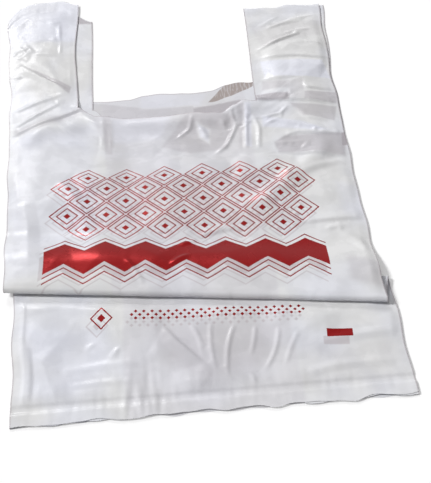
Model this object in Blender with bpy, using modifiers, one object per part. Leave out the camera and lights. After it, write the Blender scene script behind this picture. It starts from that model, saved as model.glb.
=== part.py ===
"""Thin film carrier bag with side gussets and two loop handles, lapped once across its middle.

The bag is one tube of film. It is laid flat, with the side gussets folded in, and is welded
shut near its lower edge. A cut through all its layers makes the mouth and leaves a handle on
each side, welded shut near the top. The laid bag is then lapped over itself along a fold that
crosses it at a small angle. Sizes are in metres, the handles point to +Y and +Z is up.
"""

import math

import bmesh
import bpy
import numpy as np

# Flat bag
BAG_WIDTH = 0.292
BAG_LENGTH = 0.533
GUSSET_DEPTH = 0.0825
HANDLE_WIDTH = 0.074
MOUTH_DEPTH = 0.140
MOUTH_SAG = 0.004
MOUTH_SAG_BLEND = 0.050

# Film and the spacing of its layers. Levels count them: 0 is the back panel, 1 and 2 are the
# two halves of a gusset, and the front panel is the last.
FILM_WALL = 0.0004
LAYER_GAP = 0.0006
FRONT_LEVEL = 3.0
FACE_LEVEL = 2.6
FACE_BLEND_LEVEL = 2.2
BACK_PAIR_LEVEL = 1.2
FRONT_PAIR_LEVEL = 1.8
MIDDLE_LEVEL = 1.7
MIDDLE_CLEAR = 0.004
MIDDLE_BLEND = 0.018

# Welds
WELD_WIDTH = 0.003
BOTTOM_WELD_OFFSET = 0.012
HANDLE_WELD_OFFSET = 0.016
WELD_SIDE_MARGIN = 0.004
WELD_CLEAR = 0.018
WELD_BLEND = 0.030

# Lap across the middle
LAP_ANGLE = math.radians(6.7)
LAP_FRONT_LINE = 0.1045
LAP_OVERLAP = 0.0165
BACK_FOLD_RADIUS = 0.0041
FRONT_FOLD_RADIUS = 0.0021
LAP_LEVEL_RUN = 0.0035
LAP_DESCENT = 0.024
LAP_BLEND = 0.075
LAP_SMOOTH_BEFORE = 0.010
LAP_SMOOTH_AFTER = 0.020
LAP_SMOOTH_MARGIN = 0.002

# How the upper part lies
FRONT_SLIP = 0.016
SLIP_LENGTH = 0.130
SLIP_SIDE_BLEND = 0.045
SHOULDER_TILT = 0.008
RIGHT_HANDLE_BUNCH = 0.030
BUNCH_START = 0.0325
BUNCH_SIDE_BLEND = 0.020
LEFT_HANDLE_LEAN = 0.008
RIGHT_HANDLE_LEAN = 0.006
RIGHT_HANDLE_FAN = 0.0042
LEFT_HANDLE_FAN = 0.0024
HANDLE_CORNER_DROP = 0.018
HANDLE_CORNER_REACH = 0.036
HANDLE_INNER_DROP = 0.009
HANDLE_INNER_REACH = 0.026

# Broad folds of the film
PLEAT_HEIGHT = 0.0042
PLEAT_PITCH = 0.0125
PLEATS_BELOW_MOUTH = 2.5
PLEAT_COUNT = 3
PLEAT_SIDE_BLEND = 0.026
PLEAT_SIDE_OFFSET = 0.012
SWELL_HEIGHT = 0.0022
SWELL_ACROSS = 0.300
SWELL_ALONG = 0.480
RIDGE_HEIGHT = 0.0030
RIDGE_WIDTH = 0.009
STREAK_LOW = 0.050
STREAK_HIGH = 0.014
STREAK_SIDE = 0.012
STREAK_INSET = 0.004
LOOP_LOW = 0.026
LOOP_HIGH = 0.060
LOOP_SIDE = 0.018
LOOP_INSET = 0.010
FLANK_LOW = 0.150
FLANK_HIGH = 0.085
FLANK_FROM = 0.085
FLANK_TO = 0.015
HEM_HEIGHT = 0.0035
HEM_WIDTH = 0.012
HEM_LEFT = 0.012
HEM_RIGHT = 0.006
EDGE_FLAT = 0.003
EDGE_BLEND = 0.019
FOOT_BLEND = 0.045
TOP_FLAT = 0.026
TOP_BLEND = 0.034

# Web stations
HANDLE_COLUMNS = 4
MIDDLE_COLUMNS = 12
GUSSET_COLUMNS = 3
LOWER_ROWS = 7
FOLD_ROWS = 6
OVERLAP_ROWS = 2
DESCENT_ROWS = 7
BODY_ROWS = 8
PLEAT_STEPS = 4
HANDLE_ROWS = 11

# Places that follow from the sizes
HALF_WIDTH = BAG_WIDTH / 2.0
CUT_HALF = HALF_WIDTH - HANDLE_WIDTH
GUSSET_FOLD = HALF_WIDTH - GUSSET_DEPTH
MOUTH_LINE = BAG_LENGTH - MOUTH_DEPTH
PITCH = FILM_WALL + LAYER_GAP
STACK = FRONT_LEVEL * PITCH
BACK_LINE = LAP_FRONT_LINE + FRONT_FOLD_RADIUS + STACK + FILM_WALL + LAP_OVERLAP
PLEAT_LINE = MOUTH_LINE - PLEATS_BELOW_MOUTH * PLEAT_PITCH
PLEAT_END = PLEAT_LINE + PLEAT_COUNT * PLEAT_PITCH


def smooth(value, low, high):
    """Ramp from 0 at low to 1 at high, level at both ends."""
    ratio = np.clip((np.asarray(value, float) - low) / (high - low), 0.0, 1.0)
    return ratio * ratio * (3.0 - 2.0 * ratio)


def side_path():
    """Side view of the lap: run along the film, plan position, height and heading."""
    turn = np.linspace(0.0, math.pi, 25)
    front = BACK_LINE - LAP_OVERLAP
    under = 2.0 * BACK_FOLD_RADIUS
    top = under + 2.0 * FRONT_FOLD_RADIUS
    start = BACK_LINE + LAP_LEVEL_RUN
    slope = np.linspace(start, start + LAP_DESCENT, 60)
    plan = np.concatenate([
        [-BAG_LENGTH],
        BACK_LINE + BACK_FOLD_RADIUS * np.sin(turn),
        front - FRONT_FOLD_RADIUS * np.sin(turn),
        slope,
        [2.0 * BAG_LENGTH],
    ])
    height = np.concatenate([
        [0.0],
        BACK_FOLD_RADIUS * (1.0 - np.cos(turn)),
        under + FRONT_FOLD_RADIUS * (1.0 - np.cos(turn)),
        top * (1.0 - smooth(slope, start, start + LAP_DESCENT)),
        [0.0],
    ])
    step_plan = np.diff(plan)
    step_height = np.diff(height)
    run = np.append(0.0, np.cumsum(np.hypot(step_plan, step_height))) - BAG_LENGTH
    heading = np.unwrap(np.arctan2(step_height, step_plan))
    middle = 0.5 * (run[1:] + run[:-1])
    return run, plan, height, middle, heading


def ring_stations():
    """Stations round the tube: cross position and layer level, from the back panel round."""
    edge = HALF_WIDTH - 0.5 * PITCH
    strip = np.linspace(CUT_HALF, edge, HANDLE_COLUMNS + 1)
    centre = np.linspace(-CUT_HALF, CUT_HALF, MIDDLE_COLUMNS + 1)
    panel = np.concatenate([-strip[:0:-1], centre, strip[1:]])
    inner = GUSSET_FOLD + 0.5 * PITCH
    if CUT_HALF > inner + PITCH:
        gusset = np.append(np.linspace(edge, CUT_HALF, GUSSET_COLUMNS + 1), inner)
    else:
        gusset = np.linspace(edge, inner, GUSSET_COLUMNS + 2)
    cross = np.concatenate([
        panel, [HALF_WIDTH],
        gusset, [GUSSET_FOLD],
        gusset[::-1], [HALF_WIDTH],
        panel[::-1], [-HALF_WIDTH],
        -gusset, [-GUSSET_FOLD],
        -gusset[::-1], [-HALF_WIDTH],
    ])
    level = np.concatenate([
        np.full(len(panel), 0.0), [0.5],
        np.full(len(gusset), 1.0), [1.5],
        np.full(len(gusset), 2.0), [2.5],
        np.full(len(panel), FRONT_LEVEL), [2.5],
        np.full(len(gusset), 2.0), [1.5],
        np.full(len(gusset), 1.0), [0.5],
    ])
    return np.append(cross, cross[0]), np.append(level, level[0])


def row_stations():
    """Stations along the bag, the index of the mouth row and where the lap starts and ends."""
    back_end = BACK_LINE + math.pi * BACK_FOLD_RADIUS
    front_start = back_end + LAP_OVERLAP
    front_end = front_start + math.pi * FRONT_FOLD_RADIUS
    descent = math.hypot(LAP_DESCENT, 2.0 * BACK_FOLD_RADIUS + 2.0 * FRONT_FOLD_RADIUS)
    descent_end = front_end + LAP_OVERLAP + LAP_LEVEL_RUN + descent
    lap = np.concatenate([
        np.linspace(BACK_LINE, back_end, FOLD_ROWS + 1)[:-1],
        np.linspace(back_end, front_start, OVERLAP_ROWS + 1)[:-1],
        np.linspace(front_start, front_end, FOLD_ROWS + 1)[:-1],
        np.linspace(front_end, descent_end, DESCENT_ROWS + 1),
    ]) / math.cos(LAP_ANGLE)
    lower = np.linspace(0.0, lap[0], LOWER_ROWS + 1)[:-1]
    body = np.linspace(lap[-1], PLEAT_LINE, BODY_ROWS + 1)[1:-1]
    pleats = np.linspace(PLEAT_LINE, PLEAT_END, PLEAT_COUNT * PLEAT_STEPS + 1)
    handle = np.linspace(PLEAT_END, BAG_LENGTH, HANDLE_ROWS + 1)[1:]
    rows = np.concatenate([lower, lap, body, pleats, handle])
    mouth_row = int(np.argmin(np.abs(rows - MOUTH_LINE)))
    rows[mouth_row] = MOUTH_LINE
    return rows, mouth_row, lap[0], lap[-1]


def ridge(x, y, start, end, width, height):
    """Soft ridge from start to end, with a rounded section and faded ends."""
    ax, ay = start
    bx, by = end
    length = math.hypot(bx - ax, by - ay)
    along = ((x - ax) * (bx - ax) + (y - ay) * (by - ay)) / length
    across = ((y - ay) * (bx - ax) - (x - ax) * (by - ay)) / length
    ends = smooth(along, -width, width) * smooth(-along, -length - width, -length + width)
    return height * ends * np.exp(-(across / width) ** 2)


def relief(x, y):
    """Height of the broad folds in the film over the flat bag."""
    edge = smooth(HALF_WIDTH - np.abs(x), EDGE_FLAT, EDGE_FLAT + EDGE_BLEND)
    foot = smooth(y, WELD_CLEAR, WELD_CLEAR + FOOT_BLEND)
    top = smooth(BAG_LENGTH - y, TOP_FLAT, TOP_FLAT + TOP_BLEND)
    across = 2.0 * math.pi * x / SWELL_ACROSS
    along = 2.0 * math.pi * y / SWELL_ALONG
    body = SWELL_HEIGHT * (1.0 + np.sin(across + 0.7 * along) * np.sin(along - 0.4 * across))
    phase = np.clip((y - PLEAT_LINE) / PLEAT_PITCH, 0.0, PLEAT_COUNT)
    waves = 0.5 - 0.5 * np.cos(2.0 * math.pi * phase)
    pleat_side = CUT_HALF - PLEAT_SIDE_OFFSET
    pleats = PLEAT_HEIGHT * waves * smooth(x, pleat_side, pleat_side + PLEAT_SIDE_BLEND)
    streak = ridge(
        x, y,
        (STREAK_SIDE - HALF_WIDTH, MOUTH_LINE - STREAK_LOW),
        (-CUT_HALF - STREAK_INSET, MOUTH_LINE - STREAK_HIGH),
        RIDGE_WIDTH, RIDGE_HEIGHT,
    )
    loop = ridge(
        x, y,
        (LOOP_SIDE - HALF_WIDTH, MOUTH_LINE + LOOP_HIGH),
        (-CUT_HALF - LOOP_INSET, MOUTH_LINE + LOOP_LOW),
        RIDGE_WIDTH, RIDGE_HEIGHT,
    )
    flank = ridge(
        x, y,
        (HALF_WIDTH - FLANK_FROM, MOUTH_LINE - FLANK_LOW),
        (HALF_WIDTH - FLANK_TO, MOUTH_LINE - FLANK_HIGH),
        RIDGE_WIDTH, RIDGE_HEIGHT,
    )
    hem = ridge(
        x, y,
        (-CUT_HALF, MOUTH_LINE - HEM_LEFT),
        (CUT_HALF, MOUTH_LINE - HEM_RIGHT),
        HEM_WIDTH, HEM_HEIGHT,
    )
    return (body + pleats + streak + loop + flank + hem) * edge * foot * top


def lie(x, y, level):
    """Moves flat bag positions in plan to where each layer has come to lie."""
    upper = smooth(y, MOUTH_LINE - SLIP_LENGTH, MOUTH_LINE)
    handle = smooth(y, MOUTH_LINE, BAG_LENGTH)
    front = smooth(level, BACK_PAIR_LEVEL, FRONT_PAIR_LEVEL)
    right = smooth(x, 0.0, CUT_HALF)
    left = smooth(-x, 0.0, CUT_HALF)
    new_x = x + RIGHT_HANDLE_LEAN * right * upper
    new_x = new_x + RIGHT_HANDLE_FAN * (1.0 - front) * right * upper
    new_x = new_x - LEFT_HANDLE_LEAN * left * handle * front
    new_x = new_x + LEFT_HANDLE_FAN * left * handle * (1.0 - front)

    side = np.clip(x / HALF_WIDTH, -1.0, 1.0)
    between = 1.0 - smooth(np.abs(x), CUT_HALF, CUT_HALF + SLIP_SIDE_BLEND)
    face = smooth(level, FACE_BLEND_LEVEL, FRONT_LEVEL) * between
    new_y = y + (SHOULDER_TILT * side - FRONT_SLIP * face) * upper * (1.0 - handle)
    bunch = np.clip((y - MOUTH_LINE + BUNCH_START) / (MOUTH_DEPTH + BUNCH_START), 0.0, 1.0)
    new_y = new_y - RIGHT_HANDLE_BUNCH * bunch * smooth(x, CUT_HALF - BUNCH_SIDE_BLEND, CUT_HALF)
    outer = smooth(np.abs(x), HALF_WIDTH - HANDLE_CORNER_REACH, HALF_WIDTH)
    inner = 1.0 - smooth(np.abs(x), CUT_HALF, CUT_HALF + HANDLE_INNER_REACH)
    drop = HANDLE_CORNER_DROP * outer ** 2 + HANDLE_INNER_DROP * inner ** 2
    return new_x, new_y - drop * handle ** 2 * left


def laid(cross, row, level, lap_start, lap_end):
    """Position in space of each web point, from its cross station, row station and level."""
    slant = smooth(row, lap_start - LAP_BLEND, lap_start)
    slant = slant * (1.0 - smooth(row, lap_end, lap_end + LAP_BLEND))
    sag = MOUTH_SAG * (1.0 - np.clip(cross / CUT_HALF, -1.0, 1.0) ** 2)
    sag = sag * smooth(row, MOUTH_LINE - MOUTH_SAG_BLEND, MOUTH_LINE)
    y = row - cross * math.tan(LAP_ANGLE) * slant - sag

    before = lap_start - LAP_SMOOTH_MARGIN
    after = lap_end - LAP_SMOOTH_MARGIN
    flat = smooth(row, before - LAP_SMOOTH_BEFORE, before)
    flat = flat * (1.0 - smooth(row, after, after + LAP_SMOOTH_AFTER))
    lift = relief(cross, y) * level / FRONT_LEVEL * (1.0 - flat)
    middle = smooth(GUSSET_FOLD - np.abs(cross), MIDDLE_CLEAR, MIDDLE_CLEAR + MIDDLE_BLEND)
    middle = middle * (1.0 - flat) * smooth(row, WELD_CLEAR, WELD_CLEAR + WELD_BLEND)
    drop = (FRONT_LEVEL - MIDDLE_LEVEL) * middle
    depth = PITCH * np.where(level > FACE_LEVEL, level - drop, level)
    offset = depth + lift

    x, y = lie(cross, y, level)
    run = x * math.sin(LAP_ANGLE) + y * math.cos(LAP_ANGLE)
    side = x * math.cos(LAP_ANGLE) - y * math.sin(LAP_ANGLE)
    path_run, path_plan, path_height, path_middle, path_heading = side_path()
    heading = np.interp(run, path_middle, path_heading)
    plan = np.interp(run, path_run, path_plan) - offset * np.sin(heading)
    height = np.interp(run, path_run, path_height) + offset * np.cos(heading)
    out_x = side * math.cos(LAP_ANGLE) + plan * math.sin(LAP_ANGLE)
    out_y = plan * math.cos(LAP_ANGLE) - side * math.sin(LAP_ANGLE)
    return out_x, out_y, height + 0.5 * FILM_WALL


def film_material():
    """White translucent film."""
    material = bpy.data.materials.new("white_film")
    material.use_nodes = True
    shader = material.node_tree.nodes["Principled BSDF"]
    shader.inputs["Base Color"].default_value = (0.72, 0.73, 0.76, 1.0)
    shader.inputs["Roughness"].default_value = 0.32
    material.diffuse_color = (0.72, 0.73, 0.76, 1.0)
    return material


def new_collection(name):
    """Empty collection in the scene."""
    collection = bpy.data.collections.new(name)
    bpy.context.scene.collection.children.link(collection)
    return collection


def weld_bar(name, collection, x_low, x_high, y_low):
    """Straight weld through all layers, from the back film's middle to the front film's."""
    bm = bmesh.new()
    bmesh.ops.create_cube(bm, size=1.0)
    size = (x_high - x_low, WELD_WIDTH, STACK)
    centre = (0.5 * (x_low + x_high), y_low + 0.5 * WELD_WIDTH, 0.5 * (STACK + FILM_WALL))
    for vert in bm.verts:
        vert.co = [c + s * v for c, s, v in zip(centre, size, vert.co)]
    mesh = bpy.data.meshes.new(name)
    bm.to_mesh(mesh)
    bm.free()
    bar = bpy.data.objects.new(name, mesh)
    collection.objects.link(bar)
    bar.hide_render = True
    bar.display_type = "WIRE"
    return bar


def handle_weld_reach(sign):
    """Plan reach and lower line of a handle's weld, where all of its layers lie over each other."""
    _, _, lap_start, lap_end = row_stations()
    cross = sign * np.array([CUT_HALF, HALF_WIDTH, CUT_HALF, HALF_WIDTH])
    level = np.array([0.0, 0.0, FRONT_LEVEL, FRONT_LEVEL])
    row = np.full(4, BAG_LENGTH - HANDLE_WELD_OFFSET)
    x, y, _ = laid(cross, row, level, lap_start, lap_end)
    low = max(min(x[0], x[1]), min(x[2], x[3])) + WELD_SIDE_MARGIN
    high = min(max(x[0], x[1]), max(x[2], x[3])) - WELD_SIDE_MARGIN
    return low, high, float(y.min())


def build_web(collection):
    """Film tube of the laid bag as one open surface, with the mouth cut out of it."""
    cross, level = ring_stations()
    rows, mouth_row, lap_start, lap_end = row_stations()
    columns = len(cross)
    bm = bmesh.new()
    bmesh.ops.create_grid(bm, x_segments=columns - 1, y_segments=len(rows) - 1, size=0.5)
    bm.verts.ensure_lookup_table()
    place = np.array([vert.co[:2] for vert in bm.verts])
    column = np.rint((place[:, 0] + 0.5) * (columns - 1)).astype(int)
    line = np.rint((place[:, 1] + 0.5) * (len(rows) - 1)).astype(int)
    x, y, z = laid(cross[column], rows[line], level[column], lap_start, lap_end)
    for vert, co in zip(bm.verts, np.stack([x, y, z], axis=1)):
        vert.co = co
    inside = np.abs(cross) < CUT_HALF + 1e-6
    cut = []
    for face in bm.faces:
        ends = [vert.index for vert in face.verts]
        above = min(line[end] for end in ends) >= mouth_row
        if above and all(inside[column[end]] for end in ends):
            cut.append(face)
    bmesh.ops.delete(bm, geom=cut, context="FACES")
    bmesh.ops.remove_doubles(bm, verts=bm.verts, dist=1e-6)
    bmesh.ops.recalc_face_normals(bm, faces=bm.faces)
    mesh = bpy.data.meshes.new("carrier_bag")
    bm.to_mesh(mesh)
    bm.free()
    bag = bpy.data.objects.new("carrier_bag", mesh)
    collection.objects.link(bag)
    return bag


def base_centre(bag):
    """Middle of the finished bag's outline, at the height of its underside."""
    depsgraph = bpy.context.evaluated_depsgraph_get()
    solid = bag.evaluated_get(depsgraph).to_mesh()
    co = np.array([vert.co[:] for vert in solid.vertices])
    low = co.min(axis=0)
    high = co.max(axis=0)
    return np.array([0.5 * (low[0] + high[0]), 0.5 * (low[1] + high[1]), low[2]])


def main():
    """Builds the bag over the origin."""
    for item in list(bpy.data.objects):
        bpy.data.objects.remove(item, do_unlink=True)
    parts = new_collection("carrier_bag")
    cutters = new_collection("welds")
    bag = build_web(parts)
    bag.data.materials.append(film_material())

    film = bag.modifiers.new("film wall", "SOLIDIFY")
    film.thickness = FILM_WALL
    film.offset = 0.0
    film.use_even_offset = True

    bottom_reach = HALF_WIDTH - WELD_SIDE_MARGIN
    bars = [
        weld_bar("bottom_weld", cutters, -bottom_reach, bottom_reach, BOTTOM_WELD_OFFSET),
        weld_bar("left_handle_weld", cutters, *handle_weld_reach(-1.0)),
        weld_bar("right_handle_weld", cutters, *handle_weld_reach(1.0)),
    ]
    for bar in bars:
        join = bag.modifiers.new(bar.name, "BOOLEAN")
        join.operation = "UNION"
        join.solver = "EXACT"
        join.object = bar

    shift = base_centre(bag)
    for item in [bag] + bars:
        for vert in item.data.vertices:
            vert.co = [c - s for c, s in zip(vert.co, shift)]


main()
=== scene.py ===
"""Plastic carrier bag with side gussets, lapped over itself, in a plain studio.

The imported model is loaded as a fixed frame. Its film is then laid again at a fine pitch and from
the same sizes: the front panel as two sheets that meet inside the lap, the back panel, and the
two side gussets. Lengths are in metres, and in millimetres where a name or a class says so. The
handles point to +Y and +Z is up.
"""

import logging
import math
from dataclasses import dataclass, field
from enum import Enum

import bpy
import numpy as np
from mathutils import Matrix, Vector
from mathutils.geometry import delaunay_2d_cdt


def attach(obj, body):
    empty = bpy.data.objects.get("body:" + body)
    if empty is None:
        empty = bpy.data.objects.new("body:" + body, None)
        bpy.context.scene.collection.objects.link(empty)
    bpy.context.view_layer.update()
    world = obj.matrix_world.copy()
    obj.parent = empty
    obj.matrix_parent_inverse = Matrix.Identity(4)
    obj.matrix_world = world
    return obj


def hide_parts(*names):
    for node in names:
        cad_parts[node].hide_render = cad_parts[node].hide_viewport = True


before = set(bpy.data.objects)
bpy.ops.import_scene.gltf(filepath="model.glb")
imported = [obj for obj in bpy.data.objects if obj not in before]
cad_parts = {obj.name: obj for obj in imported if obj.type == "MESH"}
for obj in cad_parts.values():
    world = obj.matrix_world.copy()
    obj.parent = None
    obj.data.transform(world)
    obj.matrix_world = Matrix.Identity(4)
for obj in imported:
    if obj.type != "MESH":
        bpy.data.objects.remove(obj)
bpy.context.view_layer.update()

LOG = logging.getLogger("carrier_bag")
MM = 0.001
TINY = 1e-6
FLAT_AREA = 1e-9
NODE = "carrier_bag"
CHART_SPAN = 0.56
CHART_FOOT = 0.01
NODES_ACROSS, NODE_STEP = 14, 190.0
GATHER_SEED, EDGE_SEED, RIM_SEED = 31, 41, 43

Point = tuple[float, float]
Vector3 = tuple[float, float, float]
Colour = tuple[float, float, float, float]
Socket = bpy.types.NodeSocket


def smooth(value: np.ndarray, low: float, high: float) -> np.ndarray:
    """Ramp that is level at both ends: three times its square less twice its cube.

    Args:
        value: Where the ramp is read.
        low: Value at which it leaves 0.
        high: Value at which it reaches 1.

    Returns:
        The ramp, from 0 to 1.
    """
    ratio = np.clip((np.asarray(value, float) - low) / (high - low), 0.0, 1.0)
    return ratio * ratio * (3.0 - 2.0 * ratio)


def random_field(x: np.ndarray, y: np.ndarray, pitch: float, seed: int, stretch: float = 1.0,
                 heading: float = 0.0, waves: int = 26) -> np.ndarray:
    """Smooth random surface: a sum of cosine waves of about one length with random headings.

    Args:
        x: Positions across, in the same unit as pitch.
        y: Positions along.
        pitch: Middle wave length.
        seed: Seed of the wave headings, lengths and phases.
        stretch: How much longer the waves are along the heading than across it.
        heading: Angle of the long direction from +X, in degrees.
        waves: Number of waves.

    Returns:
        Field with a spread of about 1.
    """
    rng = np.random.default_rng(seed)
    angle = rng.uniform(0.0, 2.0 * math.pi, waves)
    length = pitch * rng.uniform(0.7, 1.6, waves)
    phase = rng.uniform(0.0, 2.0 * math.pi, waves)
    turn = math.radians(heading)
    along = (x * math.cos(turn) + y * math.sin(turn)) / stretch
    across = y * math.cos(turn) - x * math.sin(turn)
    total = np.zeros_like(along)
    for a, l, p in zip(angle, length, phase):
        total += np.cos(2.0 * math.pi * (along * math.cos(a) + across * math.sin(a)) / l + p)
    return total * math.sqrt(2.0 / waves)


@dataclass(frozen=True)
class BagCut:
    """Flat sizes of the bag, as it is cut, with its gussets folded in."""

    width: float = 0.292
    length: float = 0.533
    gusset_depth: float = 0.0825
    handle_width: float = 0.074
    mouth_depth: float = 0.140
    mouth_sag: float = 0.004
    mouth_sag_blend: float = 0.050
    bottom_weld: float = 0.0135
    handle_weld: float = 0.0145

    @property
    def half_width(self) -> float:
        """Middle of the bag to a side fold."""
        return 0.5 * self.width

    @property
    def cut_half(self) -> float:
        """Middle of the bag to the inner edge of a handle."""
        return self.half_width - self.handle_width

    @property
    def gusset_fold(self) -> float:
        """Middle of the bag to the inner fold of a gusset."""
        return self.half_width - self.gusset_depth

    @property
    def mouth_line(self) -> float:
        """Lower edge of the bag to the mouth's cut."""
        return self.length - self.mouth_depth


@dataclass(frozen=True)
class Layers:
    """How the layers of film lie over each other: 0 is the back panel and 3 the front panel."""

    film: float = 0.0004
    pitch: float = 0.0005
    stack: float = 0.0030
    front_level: float = 3.0
    face_level: float = 2.6
    slip_level: float = 0.3
    slip_full_level: float = 0.9
    back_level: float = 0.4
    back_pair_level: float = 1.2
    front_pair_level: float = 1.8
    middle_level: float = 1.7
    middle_clear: float = 0.004
    middle_blend: float = 0.018
    relief_power: float = 2.0
    weld_squeeze: float = 0.6
    weld_reach: float = 0.0030


@dataclass(frozen=True)
class Lap:
    """Lap of the bag over itself, as a side view path of two half circles and a descent."""

    angle: float = math.radians(7.3)
    front_line: float = 0.0948
    overlap: float = 0.0216
    back_radius: float = 0.0023
    front_radius: float = 0.0013
    level_run: float = 0.0035
    descent: float = 0.038
    blend: float = 0.075
    smooth_before: float = 0.022
    smooth_after: float = 0.045
    smooth_margin: float = 0.002

    def back_line(self, layers: Layers) -> float:
        """Where the back fold starts, along the path."""
        return self.front_line + self.front_radius + layers.stack + layers.film + self.overlap

    def runs(self, layers: Layers) -> tuple[float, float, float, float, float]:
        """Path lengths at which the folds and the descent start and end.

        Args:
            layers: Spacing of the layers.

        Returns:
            Start and end of the back fold, start and end of the front fold, and descent's end.
        """
        back_start = self.back_line(layers)
        back_end = back_start + math.pi * self.back_radius
        front_start = back_end + self.overlap
        front_end = front_start + math.pi * self.front_radius
        slope = math.hypot(self.descent, 2.0 * (self.back_radius + self.front_radius))
        return (back_start, back_end, front_start, front_end,
                front_end + self.overlap + self.level_run + slope)

    def path(self, layers: Layers, reach: float) -> tuple[np.ndarray, ...]:
        """Side view: a level run, half a circle back, half a circle forward, and an eased descent.

        Args:
            layers: Spacing of the layers.
            reach: How far the path goes on before and after the lap.

        Returns:
            Run, plan position and height of the path's points, then run and heading of its steps.
        """
        turn = np.linspace(0.0, math.pi, 41)
        back = self.back_line(layers)
        front = back - self.overlap
        under = 2.0 * self.back_radius
        top = under + 2.0 * self.front_radius
        start = back + self.level_run
        slope = np.linspace(start, start + self.descent, 60)
        plan = np.concatenate([
            [-reach],
            back + self.back_radius * np.sin(turn),
            front - self.front_radius * np.sin(turn),
            slope,
            [2.0 * reach],
        ])
        height = np.concatenate([
            [0.0],
            self.back_radius * (1.0 - np.cos(turn)),
            under + self.front_radius * (1.0 - np.cos(turn)),
            top * (1.0 - smooth(slope, start, start + self.descent)),
            [0.0],
        ])
        step_plan = np.diff(plan)
        step_height = np.diff(height)
        run = np.append(0.0, np.cumsum(np.hypot(step_plan, step_height))) - reach
        heading = np.unwrap(np.arctan2(step_height, step_plan))
        return run, plan, height, 0.5 * (run[1:] + run[:-1]), heading


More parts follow.
